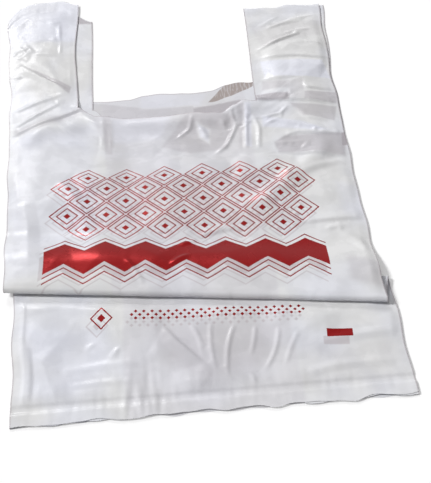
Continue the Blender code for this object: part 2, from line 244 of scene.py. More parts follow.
@dataclass(frozen=True)
class Lie:
    """How the upper part and the handles have come to lie, in plan."""

    front_slip: float = 0.028
    slip_length: float = 0.130
    slip_side_blend: float = 0.045
    edge_reach: float = 0.070
    shoulder_tilt: float = 0.008
    bunch: float = 0.030
    bunch_start: float = 0.0325
    bunch_side_blend: float = 0.020
    left_lean: float = 0.004
    left_tuck: float = 0.013
    left_tuck_reach: float = 0.055
    left_tuck_inner: float = 0.6
    left_tuck_start: float = 0.045
    left_tuck_return: float = 0.007
    left_return_start: float = 0.060
    back_step: float = 0.026
    back_step_start: float = 0.020
    back_step_blend: float = 0.010
    right_lean: float = 0.006
    right_fan: float = 0.0042
    low_share: float = 0.3
    left_fan: float = 0.0024
    corner_drop: float = 0.029
    corner_reach: float = 0.0105
    inner_drop: float = 0.009
    inner_reach: float = 0.026
    back_edge: tuple[Point, ...] = (
        (-0.072, -0.0035), (-0.060, -0.004), (-0.040, -0.003), (-0.025, 0.001), (-0.013, 0.002),
        (0.004, 0.0), (0.019, -0.002), (0.033, -0.002), (0.048, 0.003), (0.064, 0.006),
        (0.076, 0.007), (0.090, 0.004), (0.120, 0.0))
    front_edge: tuple[Point, ...] = (
        (-0.100, 0.0), (-0.072, 0.014), (-0.060, 0.002), (-0.041, -0.004), (-0.024, -0.0055),
        (-0.006, -0.0075), (0.015, -0.0072), (0.030, -0.0110), (0.040, -0.0130), (0.052, -0.005),
        (0.061, 0.002), (0.074, 0.004), (0.100, 0.0))

    @staticmethod
    def profile(knots: tuple[Point, ...], x: np.ndarray) -> np.ndarray:
        """Eased curve through knots: between two of them the smooth ramp of the distance.

        Args:
            knots: Position and value of each knot.
            x: Where the curve is read.

        Returns:
            The curve's values.
        """
        places = np.array([knot[0] for knot in knots])
        values = np.array([knot[1] for knot in knots])
        total = np.full_like(x, values[0])
        for low, high, first, last in zip(places[:-1], places[1:], values[:-1], values[1:]):
            total = total + (last - first) * smooth(x, low, high)
        return total

    def shift(self, cut: BagCut, layers: Layers, x: np.ndarray, y: np.ndarray,
              level: np.ndarray) -> tuple[np.ndarray, np.ndarray]:
        """Slips, leans and drops of each layer, each an eased share of the distance up the bag.

        Args:
            cut: Flat sizes.
            layers: Layer levels.
            x: Flat position across.
            y: Flat position along.
            level: Layer level.

        Returns:
            Plan position across and along.
        """
        upper = smooth(y, cut.mouth_line - self.slip_length, cut.mouth_line)
        handle = smooth(y, cut.mouth_line, cut.length)
        front = smooth(level, layers.back_pair_level, layers.front_pair_level)
        right = smooth(x, 0.0, cut.cut_half)
        left = smooth(-x, 0.0, cut.cut_half)
        out = right * (self.low_share * upper + (1.0 - self.low_share) * handle)
        new_x = x + (self.right_lean + self.right_fan * (1.0 - front)) * out
        new_x = new_x - self.left_lean * left * handle * front
        new_x = new_x + self.left_fan * left * handle * (1.0 - front)

        side = np.clip(x / cut.half_width, -1.0, 1.0)
        between = 1.0 - smooth(np.abs(x), cut.cut_half, cut.cut_half + self.slip_side_blend)
        face = smooth(level, layers.slip_level, layers.slip_full_level) * between
        new_y = y + (self.shoulder_tilt * side - self.front_slip * face) * upper * (1.0 - handle)
        reach = cut.mouth_depth + self.bunch_start
        bunch = np.clip((y - cut.mouth_line + self.bunch_start) / reach, 0.0, 1.0)
        gather = smooth(x, cut.cut_half - self.bunch_side_blend, cut.cut_half)
        new_y = new_y - self.bunch * bunch * gather
        outer = np.exp((np.abs(x) - cut.half_width) / self.corner_reach)
        inner = 1.0 - smooth(np.abs(x), cut.cut_half, cut.cut_half + self.inner_reach)
        drop = self.corner_drop * outer + self.inner_drop * inner ** 2
        new_y = new_y - drop * handle ** 2 * left

        near = 1.0 - smooth(np.abs(x), cut.cut_half, cut.cut_half + self.left_tuck_reach)
        inner_end = cut.cut_half - self.left_tuck_inner * self.left_tuck_reach
        near = near * smooth(np.abs(x), inner_end, cut.cut_half)
        tuck = self.left_tuck * smooth(y, cut.mouth_line - self.left_tuck_start, cut.mouth_line)
        back_again = smooth(y, cut.mouth_line + self.left_return_start, cut.length)
        tuck = tuck - self.left_tuck_return * back_again
        new_x = new_x - tuck * near * front * left
        step = smooth(-x, cut.cut_half - self.back_step_blend, cut.cut_half)
        step = step * near * (1.0 - front)
        step = self.back_step * step
        new_y = new_y - step * smooth(y, cut.mouth_line + self.back_step_start, cut.length)
        back = 1.0 - smooth(level, layers.back_level, layers.back_pair_level)
        near_mouth = smooth(y, cut.mouth_line - self.edge_reach, cut.mouth_line) * (1.0 - handle)
        new_y = new_y + self.profile(self.back_edge, x) * back * near_mouth
        new_y = new_y + self.profile(self.front_edge, x) * face * near_mouth
        return new_x, new_y


@dataclass(frozen=True)
class BroadFolds:
    """Broad folds that all the layers share, over the flat bag.

    Each end of a ridge is given by its distance from a side fold or from the mouth's cut, and by
    how far it lies over the mouth's line.
    """

    pleat_height: float = 0.0002
    pleat_pitch: float = 0.0125
    pleats_below_mouth: float = 2.5
    pleat_count: int = 3
    pleat_side_blend: float = 0.026
    pleat_side_offset: float = 0.012
    swell_height: float = 0.0013
    swell_across: float = 0.300
    swell_along: float = 0.480
    swell_skew: Point = (0.7, -0.4)
    ridge_height: float = 0.0030
    ridge_width: float = 0.009
    streak_ends: tuple[Point, Point] = ((0.012, -0.050), (0.004, -0.014))
    loop_ends: tuple[Point, Point] = ((0.018, 0.060), (0.010, 0.026))
    flank_ends: tuple[Point, Point] = ((0.085, -0.150), (0.015, -0.085))
    hem_ends: Point = (-0.012, -0.006)
    hem_height: float = 0.0035
    hem_width: float = 0.012
    edge_flat: float = 0.003
    edge_blend: float = 0.024
    foot_clear: float = 0.018
    foot_blend: float = 0.045
    top_flat: float = 0.026
    top_blend: float = 0.034

    @staticmethod
    def ridge(x: np.ndarray, y: np.ndarray, start: Point, end: Point, width: float,
              height: float) -> np.ndarray:
        """Soft ridge: a bell curve across the line from start to end, eased out at its ends.

        Args:
            x: Flat position across.
            y: Flat position along.
            start: First end of the line.
            end: Second end of the line.
            width: Half width of the bell curve.
            height: Height of the ridge.

        Returns:
            Lift of the film.
        """
        dx, dy = end[0] - start[0], end[1] - start[1]
        length = math.hypot(dx, dy)
        along = ((x - start[0]) * dx + (y - start[1]) * dy) / length
        across = ((y - start[1]) * dx - (x - start[0]) * dy) / length
        ends = smooth(along, -width, width) * smooth(-along, -length - width, -length + width)
        return height * ends * np.exp(-(across / width) ** 2)

    def lift(self, cut: BagCut, x: np.ndarray, y: np.ndarray) -> np.ndarray:
        """Sum of a slow swell, three pleats, three ridges and the mouth's hem, eased at the rim.

        Args:
            cut: Flat sizes.
            x: Flat position across.
            y: Flat position along.

        Returns:
            Lift of the front panel.
        """
        half, inner, mouth = cut.half_width, cut.cut_half, cut.mouth_line
        edge = smooth(half - np.abs(x), self.edge_flat, self.edge_flat + self.edge_blend)
        foot = smooth(y, self.foot_clear, self.foot_clear + self.foot_blend)
        top = smooth(cut.length - y, self.top_flat, self.top_flat + self.top_blend)
        across = 2.0 * math.pi * x / self.swell_across
        along = 2.0 * math.pi * y / self.swell_along
        skew_along, skew_across = self.swell_skew
        swell = 1.0 + np.sin(across + skew_along * along) * np.sin(along + skew_across * across)
        first = mouth - self.pleats_below_mouth * self.pleat_pitch
        phase = np.clip((y - first) / self.pleat_pitch, 0.0, self.pleat_count)
        side = inner - self.pleat_side_offset
        pleats = (0.5 - 0.5 * np.cos(2.0 * math.pi * phase)) * smooth(
            x, side, side + self.pleat_side_blend)
        total = self.swell_height * swell + self.pleat_height * pleats
        (flank_from, flank_low), (flank_to, flank_high) = self.flank_ends
        hem_low, hem_high = self.hem_ends
        plain, hem = (self.ridge_width, self.ridge_height), (self.hem_width, self.hem_height)
        ridges = [
            *(((outer - half, mouth + low), (-inner - over, mouth + high), plain)
              for (outer, low), (over, high) in (self.streak_ends, self.loop_ends)),
            ((half - flank_from, mouth + flank_low), (half - flank_to, mouth + flank_high), plain),
            ((-inner, mouth + hem_low), (inner, mouth + hem_high), hem),
        ]
        for start, end, size in ridges:
            total = total + self.ridge(x, y, start, end, *size)
        return total * edge * foot * top


class Fold(Enum):
    """Section of a crease, from one side of its line to the other."""

    ROLL = "rounded ridge"
    PINCH = "sharp crest with even flanks"
    STEP = "tuck that drops on one side and runs out on the other"


@dataclass(frozen=True)
class Section:
    """Shape of a crease's cross section and ends, in shares of its height or width and in mm."""

    end_share: float = 0.25
    end_power: float = 0.6
    tuck_half: float = 0.35
    tuck_gap: float = 0.5
    tuck_run: float = 5.0
    tuck_foot: float = 0.35
    flank_share: float = 1.1
    flank_gap: float = 0.9
    flank_foot: float = 0.05
    bow_points: int = 61


SECTION = Section()


@dataclass(frozen=True)
class Crease:
    """One crease of the film, in millimetres of the plan, by way of some points."""

    start: Point
    end: Point
    height: float
    width: float
    fold: Fold
    bow: float = 0.0
    by: tuple[Point, ...] = ()

    @property
    def knots(self) -> np.ndarray:
        """The crease's points in order."""
        return np.array([self.start, *self.by, self.end], float)

    @property
    def runs(self) -> np.ndarray:
        """Length along the crease at each of its points."""
        return np.append(0.0, np.cumsum(np.hypot(*np.diff(self.knots, axis=0).T)))

    def line(self, shares: np.ndarray, aside: float) -> np.ndarray:
        """Points along the crease, swung out by the bow, at a distance aside from its line.

        Args:
            shares: Share of the crease's length at each point.
            aside: Distance to the left of the crease.

        Returns:
            The points.
        """
        runs, knots = self.runs, self.knots
        fine = np.linspace(0.0, runs[-1], SECTION.bow_points)
        x, y = np.interp(fine, runs, knots[:, 0]), np.interp(fine, runs, knots[:, 1])
        step_x, step_y = np.gradient(x), np.gradient(y)
        size = np.hypot(step_x, step_y)
        at = shares * runs[-1]
        away = aside + 4.0 * self.bow * shares * (1.0 - shares)
        line_x = np.interp(at, fine, x) - np.interp(at, fine, step_y / size) * away
        line_y = np.interp(at, fine, y) + np.interp(at, fine, step_x / size) * away
        return np.stack([line_x, line_y], axis=1)

    def rows(self, step: float) -> list[tuple[np.ndarray, np.ndarray, bool]]:
        """Rows of control points that shape the fold, each with heights and whether it is a crease.

        A crest has one row on its line and low points beside it. A tuck has a high row and a low
        row close together, and a last row where it runs out.

        Args:
            step: Distance between points along the row.

        Returns:
            Points, heights and the crease flag of each row.
        """
        shares = np.linspace(0.0, 1.0, max(3, int(round(self.runs[-1] / step)) + 1))
        hump = np.sin(math.pi * shares) ** SECTION.end_power
        crest = self.height * (SECTION.end_share + (1.0 - SECTION.end_share) * hump)
        if self.fold is Fold.STEP:
            half, run = SECTION.tuck_half * self.width, SECTION.tuck_run * self.width
            return [
                (self.line(shares, half), crest, True),
                (self.line(shares, -half - SECTION.tuck_gap), 0.0 * crest, True),
                (self.line(shares[1:-1], run), SECTION.tuck_foot * crest[1:-1], False),
            ]
        flank = SECTION.flank_share * self.width + SECTION.flank_gap
        middle = 0.5 * (shares[1:] + shares[:-1])
        foot = SECTION.flank_foot * self.height * np.ones_like(middle)
        return [
            (self.line(shares, 0.0), crest, True),
            (self.line(middle, flank), foot, False),
            (self.line(middle, -flank), foot, False),
        ]


LEFT_HANDLE_CREASES = (
    Crease((-95, 106), (-138, 145), 1.1, 1.5, Fold.STEP, by=((-118, 125),)),
    Crease((-143, 173), (-132, 156), 0.8, 1.2, Fold.PINCH),
    Crease((-138, 176), (-127, 160), 0.7, 1.2, Fold.PINCH),
    Crease((-145, 155), (-131, 149), 0.6, 1.1, Fold.PINCH, by=((-139, 157),)),
    Crease((-145, 145), (-136, 144), 0.5, 1.2, Fold.PINCH, 1),
    Crease((-145, 130), (-137, 130), 0.5, 1.2, Fold.PINCH),
    Crease((-147, 157), (-144, 169), 0.6, 1.4, Fold.PINCH, 1),
    Crease((-130, 159), (-108, 155), 0.7, 1.8, Fold.STEP, 1),
    Crease((-104, 207), (-116, 206), 0.5, 0.9, Fold.STEP),
    Crease((-103, 178), (-103, 204), 0.6, 0.9, Fold.STEP),
    Crease((-116, 180), (-105, 178), 0.5, 0.9, Fold.STEP),
    Crease((-103, 173), (-104, 158), 0.6, 1.1, Fold.PINCH),
    Crease((-94, 138), (-95, 116), 0.5, 1.1, Fold.PINCH),
    Crease((-139, 212), (-94, 227), 0.6, 3.0, Fold.ROLL, 3),
    Crease((-145, 53), (-74, 85), 1.2, 1.8, Fold.STEP, by=((-109, 68),)),
    Crease((-144, 63), (-104, 91), 1.0, 1.4, Fold.PINCH, by=((-122, 78),)),
    Crease((-144, 83), (-101, 103), 0.9, 1.3, Fold.PINCH, by=((-124, 93),)),
    Crease((-96, 84), (-84, 91), 0.5, 1.2, Fold.PINCH),
)

MOUTH_CREASES = (
    Crease((56, 68), (28, 12), 1.2, 1.4, Fold.PINCH, by=((46, 60), (49, 43), (39, 22))),
    Crease((61, 68), (55, 15), 1.2, 1.3, Fold.PINCH, by=((58, 42),)),
    Crease((65, 58), (66, 14), 1.0, 1.4, Fold.PINCH, by=((69, 40),)),
    Crease((72, 52), (98, 66), 1.1, 1.5, Fold.PINCH, by=((90, 56),)),
    Crease((75, 44), (131, 32), 1.3, 1.5, Fold.PINCH, by=((84, 49), (107, 41))),
    Crease((52, 69), (14, 64), 1.1, 1.4, Fold.STEP, by=((39, 60),)),
    Crease((12, 58), (-3, 34), 0.9, 1.4, Fold.PINCH, by=((8, 43),)),
    Crease((17, 47), (23, 30), 1.2, 2.8, Fold.ROLL),
    Crease((36, 52), (41, 40), 0.8, 2.2, Fold.ROLL),
    Crease((59, 76), (142, 67), 1.5, 1.6, Fold.STEP, by=((100, 73),)),
    Crease((80, 103), (112, 103), 1.2, 1.6, Fold.STEP),
    Crease((102, 88), (101, 78), 0.6, 1.0, Fold.STEP),
    Crease((118, 101), (145, 84), 1.1, 1.2, Fold.STEP, by=((117, 88),)),
    Crease((104, 64), (132, 44), 1.0, 1.3, Fold.STEP, by=((112, 49),)),
    Crease((-67, 68), (-70, 28), 0.35, 1.2, Fold.STEP),
    Crease((-60, 66), (-61, 26), 0.4, 1.2, Fold.PINCH),
)

RIGHT_HANDLE_CREASES = (
    Crease((80, 145), (126, 167), 1.7, 1.3, Fold.PINCH, by=((101, 157),)),
    Crease((92, 176), (142, 194), 1.2, 1.6, Fold.ROLL, by=((120, 188),)),
    Crease((104, 183), (128, 184), 1.0, 1.3, Fold.PINCH, 1),
    Crease((82, 133), (140, 128), 1.3, 1.6, Fold.STEP, by=((110, 132),)),
    Crease((124, 154), (142, 147), 1.2, 1.6, Fold.ROLL, 1),
    Crease((108, 167), (136, 172), 1.1, 1.4, Fold.ROLL, 1),
    Crease((151, 193), (147, 120), 0.8, 1.4, Fold.STEP, by=((149, 157),)),
    Crease((84, 179), (112, 200), 0.7, 1.3, Fold.PINCH, by=((91, 183),)),
)

FLANK_CREASES = (
    Crease((90, 27), (144, 28), 1.3, 1.6, Fold.STEP, by=((99, 31),)),
    Crease((80, 20), (108, 20), 0.7, 1.2, Fold.PINCH),
    Crease((80, 10), (138, 0), 1.2, 1.6, Fold.STEP, by=((100, 5),)),
    Crease((101, 10), (112, 20), 0.8, 1.2, Fold.PINCH),
    Crease((97, -17), (134, -6), 0.9, 3.0, Fold.ROLL, 2),
    Crease((141, 20), (143, -35), 1.0, 1.6, Fold.STEP, 1),
    Crease((143, -40), (145, -69), 0.9, 1.6, Fold.PINCH, 1),
    Crease((89, -72), (145, -71), 1.4, 1.8, Fold.STEP, 1),
    Crease((106, -79), (126, -77), 0.9, 1.6, Fold.PINCH),
    Crease((4, -79), (40, -72), 1.0, 1.8, Fold.STEP, 1),
    Crease((-12, -88), (5, -82), 0.9, 1.6, Fold.PINCH, 1),
    Crease((-21, -111), (-3, -99), 1.0, 1.6, Fold.PINCH, 1),
    Crease((-55, -100), (-41, -128), 0.7, 1.6, Fold.PINCH, 1),
    Crease((-106, -6), (-82, -64), 0.8, 7.0, Fold.ROLL, 4),
    Crease((-136, -26), (-130, -101), 1.0, 8.0, Fold.ROLL, 2),
    Crease((120, -84), (141, -109), 1.0, 5.0, Fold.ROLL, 2),
)

LOWER_CREASES = (
    Crease((-135, -127), (-134, -239), 0.6, 1.2, Fold.PINCH, 1),
    Crease((-130, -170), (-130, -233), 0.7, 1.2, Fold.PINCH, 1),
    Crease((-1, -199), (-29, -162), 1.1, 2.0, Fold.STEP, by=((-19, -178),)),
    Crease((-9, -163), (-2, -190), 0.6, 1.3, Fold.PINCH, 2),
    Crease((7, -163), (7, -206), 0.7, 1.1, Fold.PINCH, -2),
    Crease((25, -166), (15, -212), 0.9, 1.0, Fold.PINCH, -3),
    Crease((40, -168), (33, -196), 0.7, 1.0, Fold.PINCH, 1),
    Crease((57, -172), (42, -209), 0.8, 1.1, Fold.PINCH, 3),
    Crease((72, -177), (58, -206), 0.6, 1.3, Fold.PINCH, -1),
    Crease((31, -210), (34, -222), 0.7, 1.3, Fold.PINCH, 1),
    Crease((-70, -189), (-61, -178), 0.8, 1.4, Fold.PINCH, 1),
    Crease((-88, -179), (-79, -173), 0.6, 1.4, Fold.PINCH, 1),
    Crease((-45, -236), (-36, -227), 0.8, 1.4, Fold.PINCH, 1),
    Crease((-107, -196), (-41, -194), 0.45, 3.5, Fold.ROLL, 2),
    Crease((-100, -209), (-49, -209), 0.35, 2.4, Fold.ROLL, 1),
    Crease((0, -226), (38, -226), 0.8, 2.6, Fold.ROLL, 2),
    Crease((72, -214), (141, -210), 0.9, 4.0, Fold.ROLL, 3),
    Crease((86, -189), (147, -184), 0.9, 4.0, Fold.ROLL, 2),
)


@dataclass(frozen=True)
class ShadeAndHighlightPatch:
    """Flat patch between folds, in millimetres of the plan, with painted shade or a painted
    highlight.

    A tone over 0 paints shade: the patch looks greyer, as where a facet turns from the light or
    lies in a fold's shadow. One under 0 paints a highlight: the patch looks whiter, as where a
    facet catches the light.
    """

    corners: tuple[Point, ...]
    tone: float
    blend: float

    def mask(self, x: np.ndarray, y: np.ndarray) -> np.ndarray:
        """Share of the patch: the least distance to the sides of its convex outline, eased.

        Args:
            x: Plan position across.
            y: Plan position along.

        Returns:
            1 inside the patch and 0 outside it.
        """
        xs, ys = np.array(self.corners).T
        next_x, next_y = np.roll(xs, -1), np.roll(ys, -1)
        turn = np.sign(np.sum(xs * next_y - ys * next_x))
        near = np.full_like(x, np.inf)
        for x0, y0, x1, y1 in zip(xs, ys, next_x, next_y):
            away = ((x1 - x0) * (y - y0) - (y1 - y0) * (x - x0)) / math.hypot(x1 - x0, y1 - y0)
            near = np.minimum(near, turn * away)
        return smooth(near, -self.blend, self.blend)


# Patches of painted shade and painted highlight on the front panel above the lap: over the handles,
# the mouth and the flanks.
UPPER_SHADE_PATCHES = (
    ShadeAndHighlightPatch(((62, 85), (101, 83), (100, 73), (61, 75)), 0.8, 1.2),
    ShadeAndHighlightPatch(((103, 99), (118, 102), (114, 73), (100, 74)), 0.28, 0.8),
    ShadeAndHighlightPatch(((116, 83), (145, 82), (143, 67), (114, 72)), 0.6, 1.0),
    ShadeAndHighlightPatch(((80, 102), (103, 99), (102, 90), (78, 90)), 0.45, 1.6),
    ShadeAndHighlightPatch(((100, 69), (142, 63), (137, 45), (110, 52)), 0.5, 1.0),
    ShadeAndHighlightPatch(((80, 21), (90, 28), (144, 29), (139, 1), (82, 9)), 0.6, 1.5),
    ShadeAndHighlightPatch(((141, 30), (148, 31), (145, 14), (139, 14)), 0.8, 1.0),
    ShadeAndHighlightPatch(((52, 67), (60, 72), (53, 17), (49, 17)), 0.3, 2.5),
    ShadeAndHighlightPatch(((10, 65), (50, 54), (39, 18), (6, 15), (-17, 26)), 0.4, 2.0),
    ShadeAndHighlightPatch(((74, 53), (107, 46), (131, 32), (105, 35), (72, 41)), -0.6, 2.0),
    ShadeAndHighlightPatch(((59, 69), (65, 69), (60, 18), (55, 19)), -0.5, 1.2),
    ShadeAndHighlightPatch(((15, 50), (26, 42), (24, 26), (16, 34)), -0.8, 2.5),
    ShadeAndHighlightPatch(((-67, 69), (-60, 68), (-60, 22), (-66, 23)), 0.35, 1.0),
    ShadeAndHighlightPatch(((-59, 64), (-8, 58), (-18, 35), (-58, 36)), -0.25, 4.0),
    ShadeAndHighlightPatch(((78, 182), (145, 185), (143, 164), (86, 149)), 0.18, 2.0),
    ShadeAndHighlightPatch(((-145, 59), (-73, 86), (-75, 77), (-141, 50)), 0.3, 2.5),
    ShadeAndHighlightPatch(((-134, 143), (-94, 112), (-96, 103), (-121, 129)), 0.6, 0.8),
    ShadeAndHighlightPatch(((119, -112), (149, -122), (141, -147), (118, -138)), 0.35, 4.0),
    ShadeAndHighlightPatch(((-155, 180), (-152, 235), (-80, 245), (-84, 176)), -0.5, 3.0),
    ShadeAndHighlightPatch(((81, 129), (139, 125), (143, 101), (83, 106)), -0.6, 1.0),
    ShadeAndHighlightPatch(((-144, 49), (-74, 59), (-77, -104), (-147, -113)), -0.4, 9.0),
    ShadeAndHighlightPatch(((125, -29), (147, -35), (147, -64), (127, -65)), -0.25, 5.0),
)

# Patches of painted shade and painted highlight on the front panel below the lap.
LOWER_SHADE_PATCHES = (
    ShadeAndHighlightPatch(((-39, -161), (63, -169), (41, -205), (-2, -218), (-30, -193)), 0.34, 9.0),
    ShadeAndHighlightPatch(((-133, -155), (-73, -161), (-75, -217), (-138, -216)), -0.35, 9.0),
    ShadeAndHighlightPatch(((71, -187), (142, -195), (138, -229), (65, -228)), 0.12, 9.0),
)

# Painted shade on the back panel along the front panel's mouth edge and in the wedge beside it, and
# a painted highlight above them.
BACK_SHADE_PATCHES = (
    ShadeAndHighlightPatch(((-77, 91), (-24, 78), (-24, 50), (-77, 50)), 0.4, 1.2),
    ShadeAndHighlightPatch(((-24, 78), (14, 79), (14, 50), (-24, 50)), 0.4, 1.2),
    ShadeAndHighlightPatch(((14, 75), (58, 82), (60, 73), (40, 50), (14, 50)), 0.85, 0.8),
    ShadeAndHighlightPatch(((-32, 97), (27, 93), (21, 78), (-33, 78)), -0.3, 3.0),
)

# Painted shade on the left gusset's strip beside the left handle, at its top and down its edge.
STRIP_SHADE_PATCHES = (
    ShadeAndHighlightPatch(((-95, 214), (-66, 212), (-66, 202), (-95, 203)), 0.9, 0.8),
    ShadeAndHighlightPatch(((-78, 160), (-66, 160), (-66, 100), (-78, 100)), 0.2, 1.0),
)


@dataclass(frozen=True)
class Wrinkles:
    """Crumpled film as a net of flat facets between crease lines, in millimetres.

    The box is the net's left, right, low and high side. A crumpled place has a middle, a reach
    and how much more it is crumpled.

    The net's control points are those of the creases and of a jittered grid between them. Its
    triangles keep the crease lines as edges, and the lift is even over each triangle.
    """

    creases: tuple[Crease, ...]
    seed: int
    box: tuple[float, float, float, float]
    calm: float
    crumpled_places: tuple[tuple[float, float, float, float], ...]
    pitch: float = 23.0
    jitter: float = 0.42
    facet_height: float = 3.6
    facet_power: float = 1.3
    near_points: int = 3
    near_gap: float = 0.1
    merge: float = 0.05
    line_step: float = 6.5
    line_points: int = 40
    clearance: float = 6.0
    spacing: float = 3.2
    crease_gain: float = 1.55
    swell: float = 0.55
    swell_pitch: float = 80.0
    swell_least: float = 0.3
    rise: float = 0.6
    ease: float = 0.04
    rest_height: float = 0.3

    def strength(self, x: np.ndarray, y: np.ndarray) -> np.ndarray:
        """How crumpled the film is: a calm level plus a bell curve round each crumpled place."""
        total = np.full_like(np.asarray(x, float), self.calm)
        for middle_x, middle_y, reach, extra in self.crumpled_places:
            total += extra * np.exp(-((x - middle_x) ** 2 + (y - middle_y) ** 2) / reach ** 2)
        return total

    def net(self) -> tuple[np.ndarray, np.ndarray, list[list[int]]]:
        """Control points, their heights, and the triangles between them.

        Returns:
            Points, heights and triangles.
        """
        rng = np.random.default_rng(self.seed)
        points, heights, edges = [], [], []
        shares = np.linspace(0.0, 1.0, self.line_points)
        lines = [crease.line(shares, 0.0) for crease in self.creases]
        for number, crease in enumerate(self.creases):
            others = np.concatenate(lines[:number] + lines[number + 1:])
            for row, height, folded in crease.rows(self.line_step):
                if not folded:
                    free = np.hypot(*(row[:, None] - others).T).min(axis=0) > self.spacing
                    row, height = row[free], height[free]
                first = len(points)
                points += [tuple(p) for p in row]
                heights += [self.crease_gain * h for h in height]
                if folded:
                    edges += [(first + i, first + i + 1) for i in range(len(row) - 1)]
        taken = np.array(points)
        left, right, low, high = self.box
        for column in np.arange(left, right, self.pitch):
            for line in np.arange(low, high, self.pitch):
                place = np.array([column, line])
                place = place + rng.uniform(-self.jitter, self.jitter, 2) * self.pitch
                height = rng.uniform(0.0, 1.0) ** self.facet_power
                if np.hypot(*(taken - place).T).min() > self.clearance:
                    points.append(tuple(place))
                    strength = float(self.strength(*place))
                    heights.append(self.facet_height * height * strength)
        made = delaunay_2d_cdt([Vector(p) for p in points], edges, [], 0, self.merge, True)
        corners = np.array([tuple(v) for v in made[0]])
        known = [np.mean([heights[i] for i in ids]) if ids else np.nan for ids in made[3]]
        known = np.array(known)
        source = np.array(points)
        for index in np.flatnonzero(np.isnan(known)):
            away = np.hypot(*(source - corners[index]).T)
            near = np.argsort(away)[:self.near_points]
            weight = 1.0 / (away[near] + self.near_gap)
            known[index] = float(np.sum(np.array(heights)[near] * weight) / weight.sum())
        return corners, known, [list(face) for face in made[2]]

    def lift(self, x: np.ndarray, y: np.ndarray) -> np.ndarray:
        """Lift of the net's facets, eased over a grid step, plus a swell.

        The sum is bent so that it doesn't fall below the film's level: half of the sum and of the
        root of its square plus a little.

        Args:
            x: Plan position across, in millimetres.
            y: Plan position along.

        Returns:
            Lift in millimetres.
        """
        corners, heights, triangles = self.net()
        order = np.argsort(x, axis=None)
        sorted_x, sorted_y = x.ravel()[order], y.ravel()[order]
        found = np.zeros_like(sorted_x)
        for triangle in triangles:
            (x0, y0), (x1, y1), (x2, y2) = corners[triangle]
            h0, h1, h2 = heights[triangle]
            area = (x1 - x0) * (y2 - y0) - (x2 - x0) * (y1 - y0)
            if abs(area) < FLAT_AREA:
                continue
            first = int(np.searchsorted(sorted_x, min(x0, x1, x2)))
            last = int(np.searchsorted(sorted_x, max(x0, x1, x2), side="right"))
            px, py = sorted_x[first:last], sorted_y[first:last]
            u = ((px - x0) * (y2 - y0) - (x2 - x0) * (py - y0)) / area
            v = ((x1 - x0) * (py - y0) - (px - x0) * (y1 - y0)) / area
            inside = (u >= -TINY) & (v >= -TINY) & (u + v <= 1.0 + TINY)
            found[first:last][inside] = (h0 + u * (h1 - h0) + v * (h2 - h0))[inside]
        total = np.empty_like(found)
        total[order] = found
        total = total.reshape(x.shape)
        total[1:-1] = 0.25 * (total[:-2] + total[2:]) + 0.5 * total[1:-1]
        total[:, 1:-1] = 0.25 * (total[:, :-2] + total[:, 2:]) + 0.5 * total[:, 1:-1]
        wide = self.swell * (1.0 + random_field(x, y, self.swell_pitch, self.seed + 5))
        wide = wide * np.clip(self.strength(x, y) / self.calm, self.swell_least, 1.0)
        total = total + wide + self.rise
        return 0.5 * (total + np.sqrt(total ** 2 + self.ease)) - self.rest_height


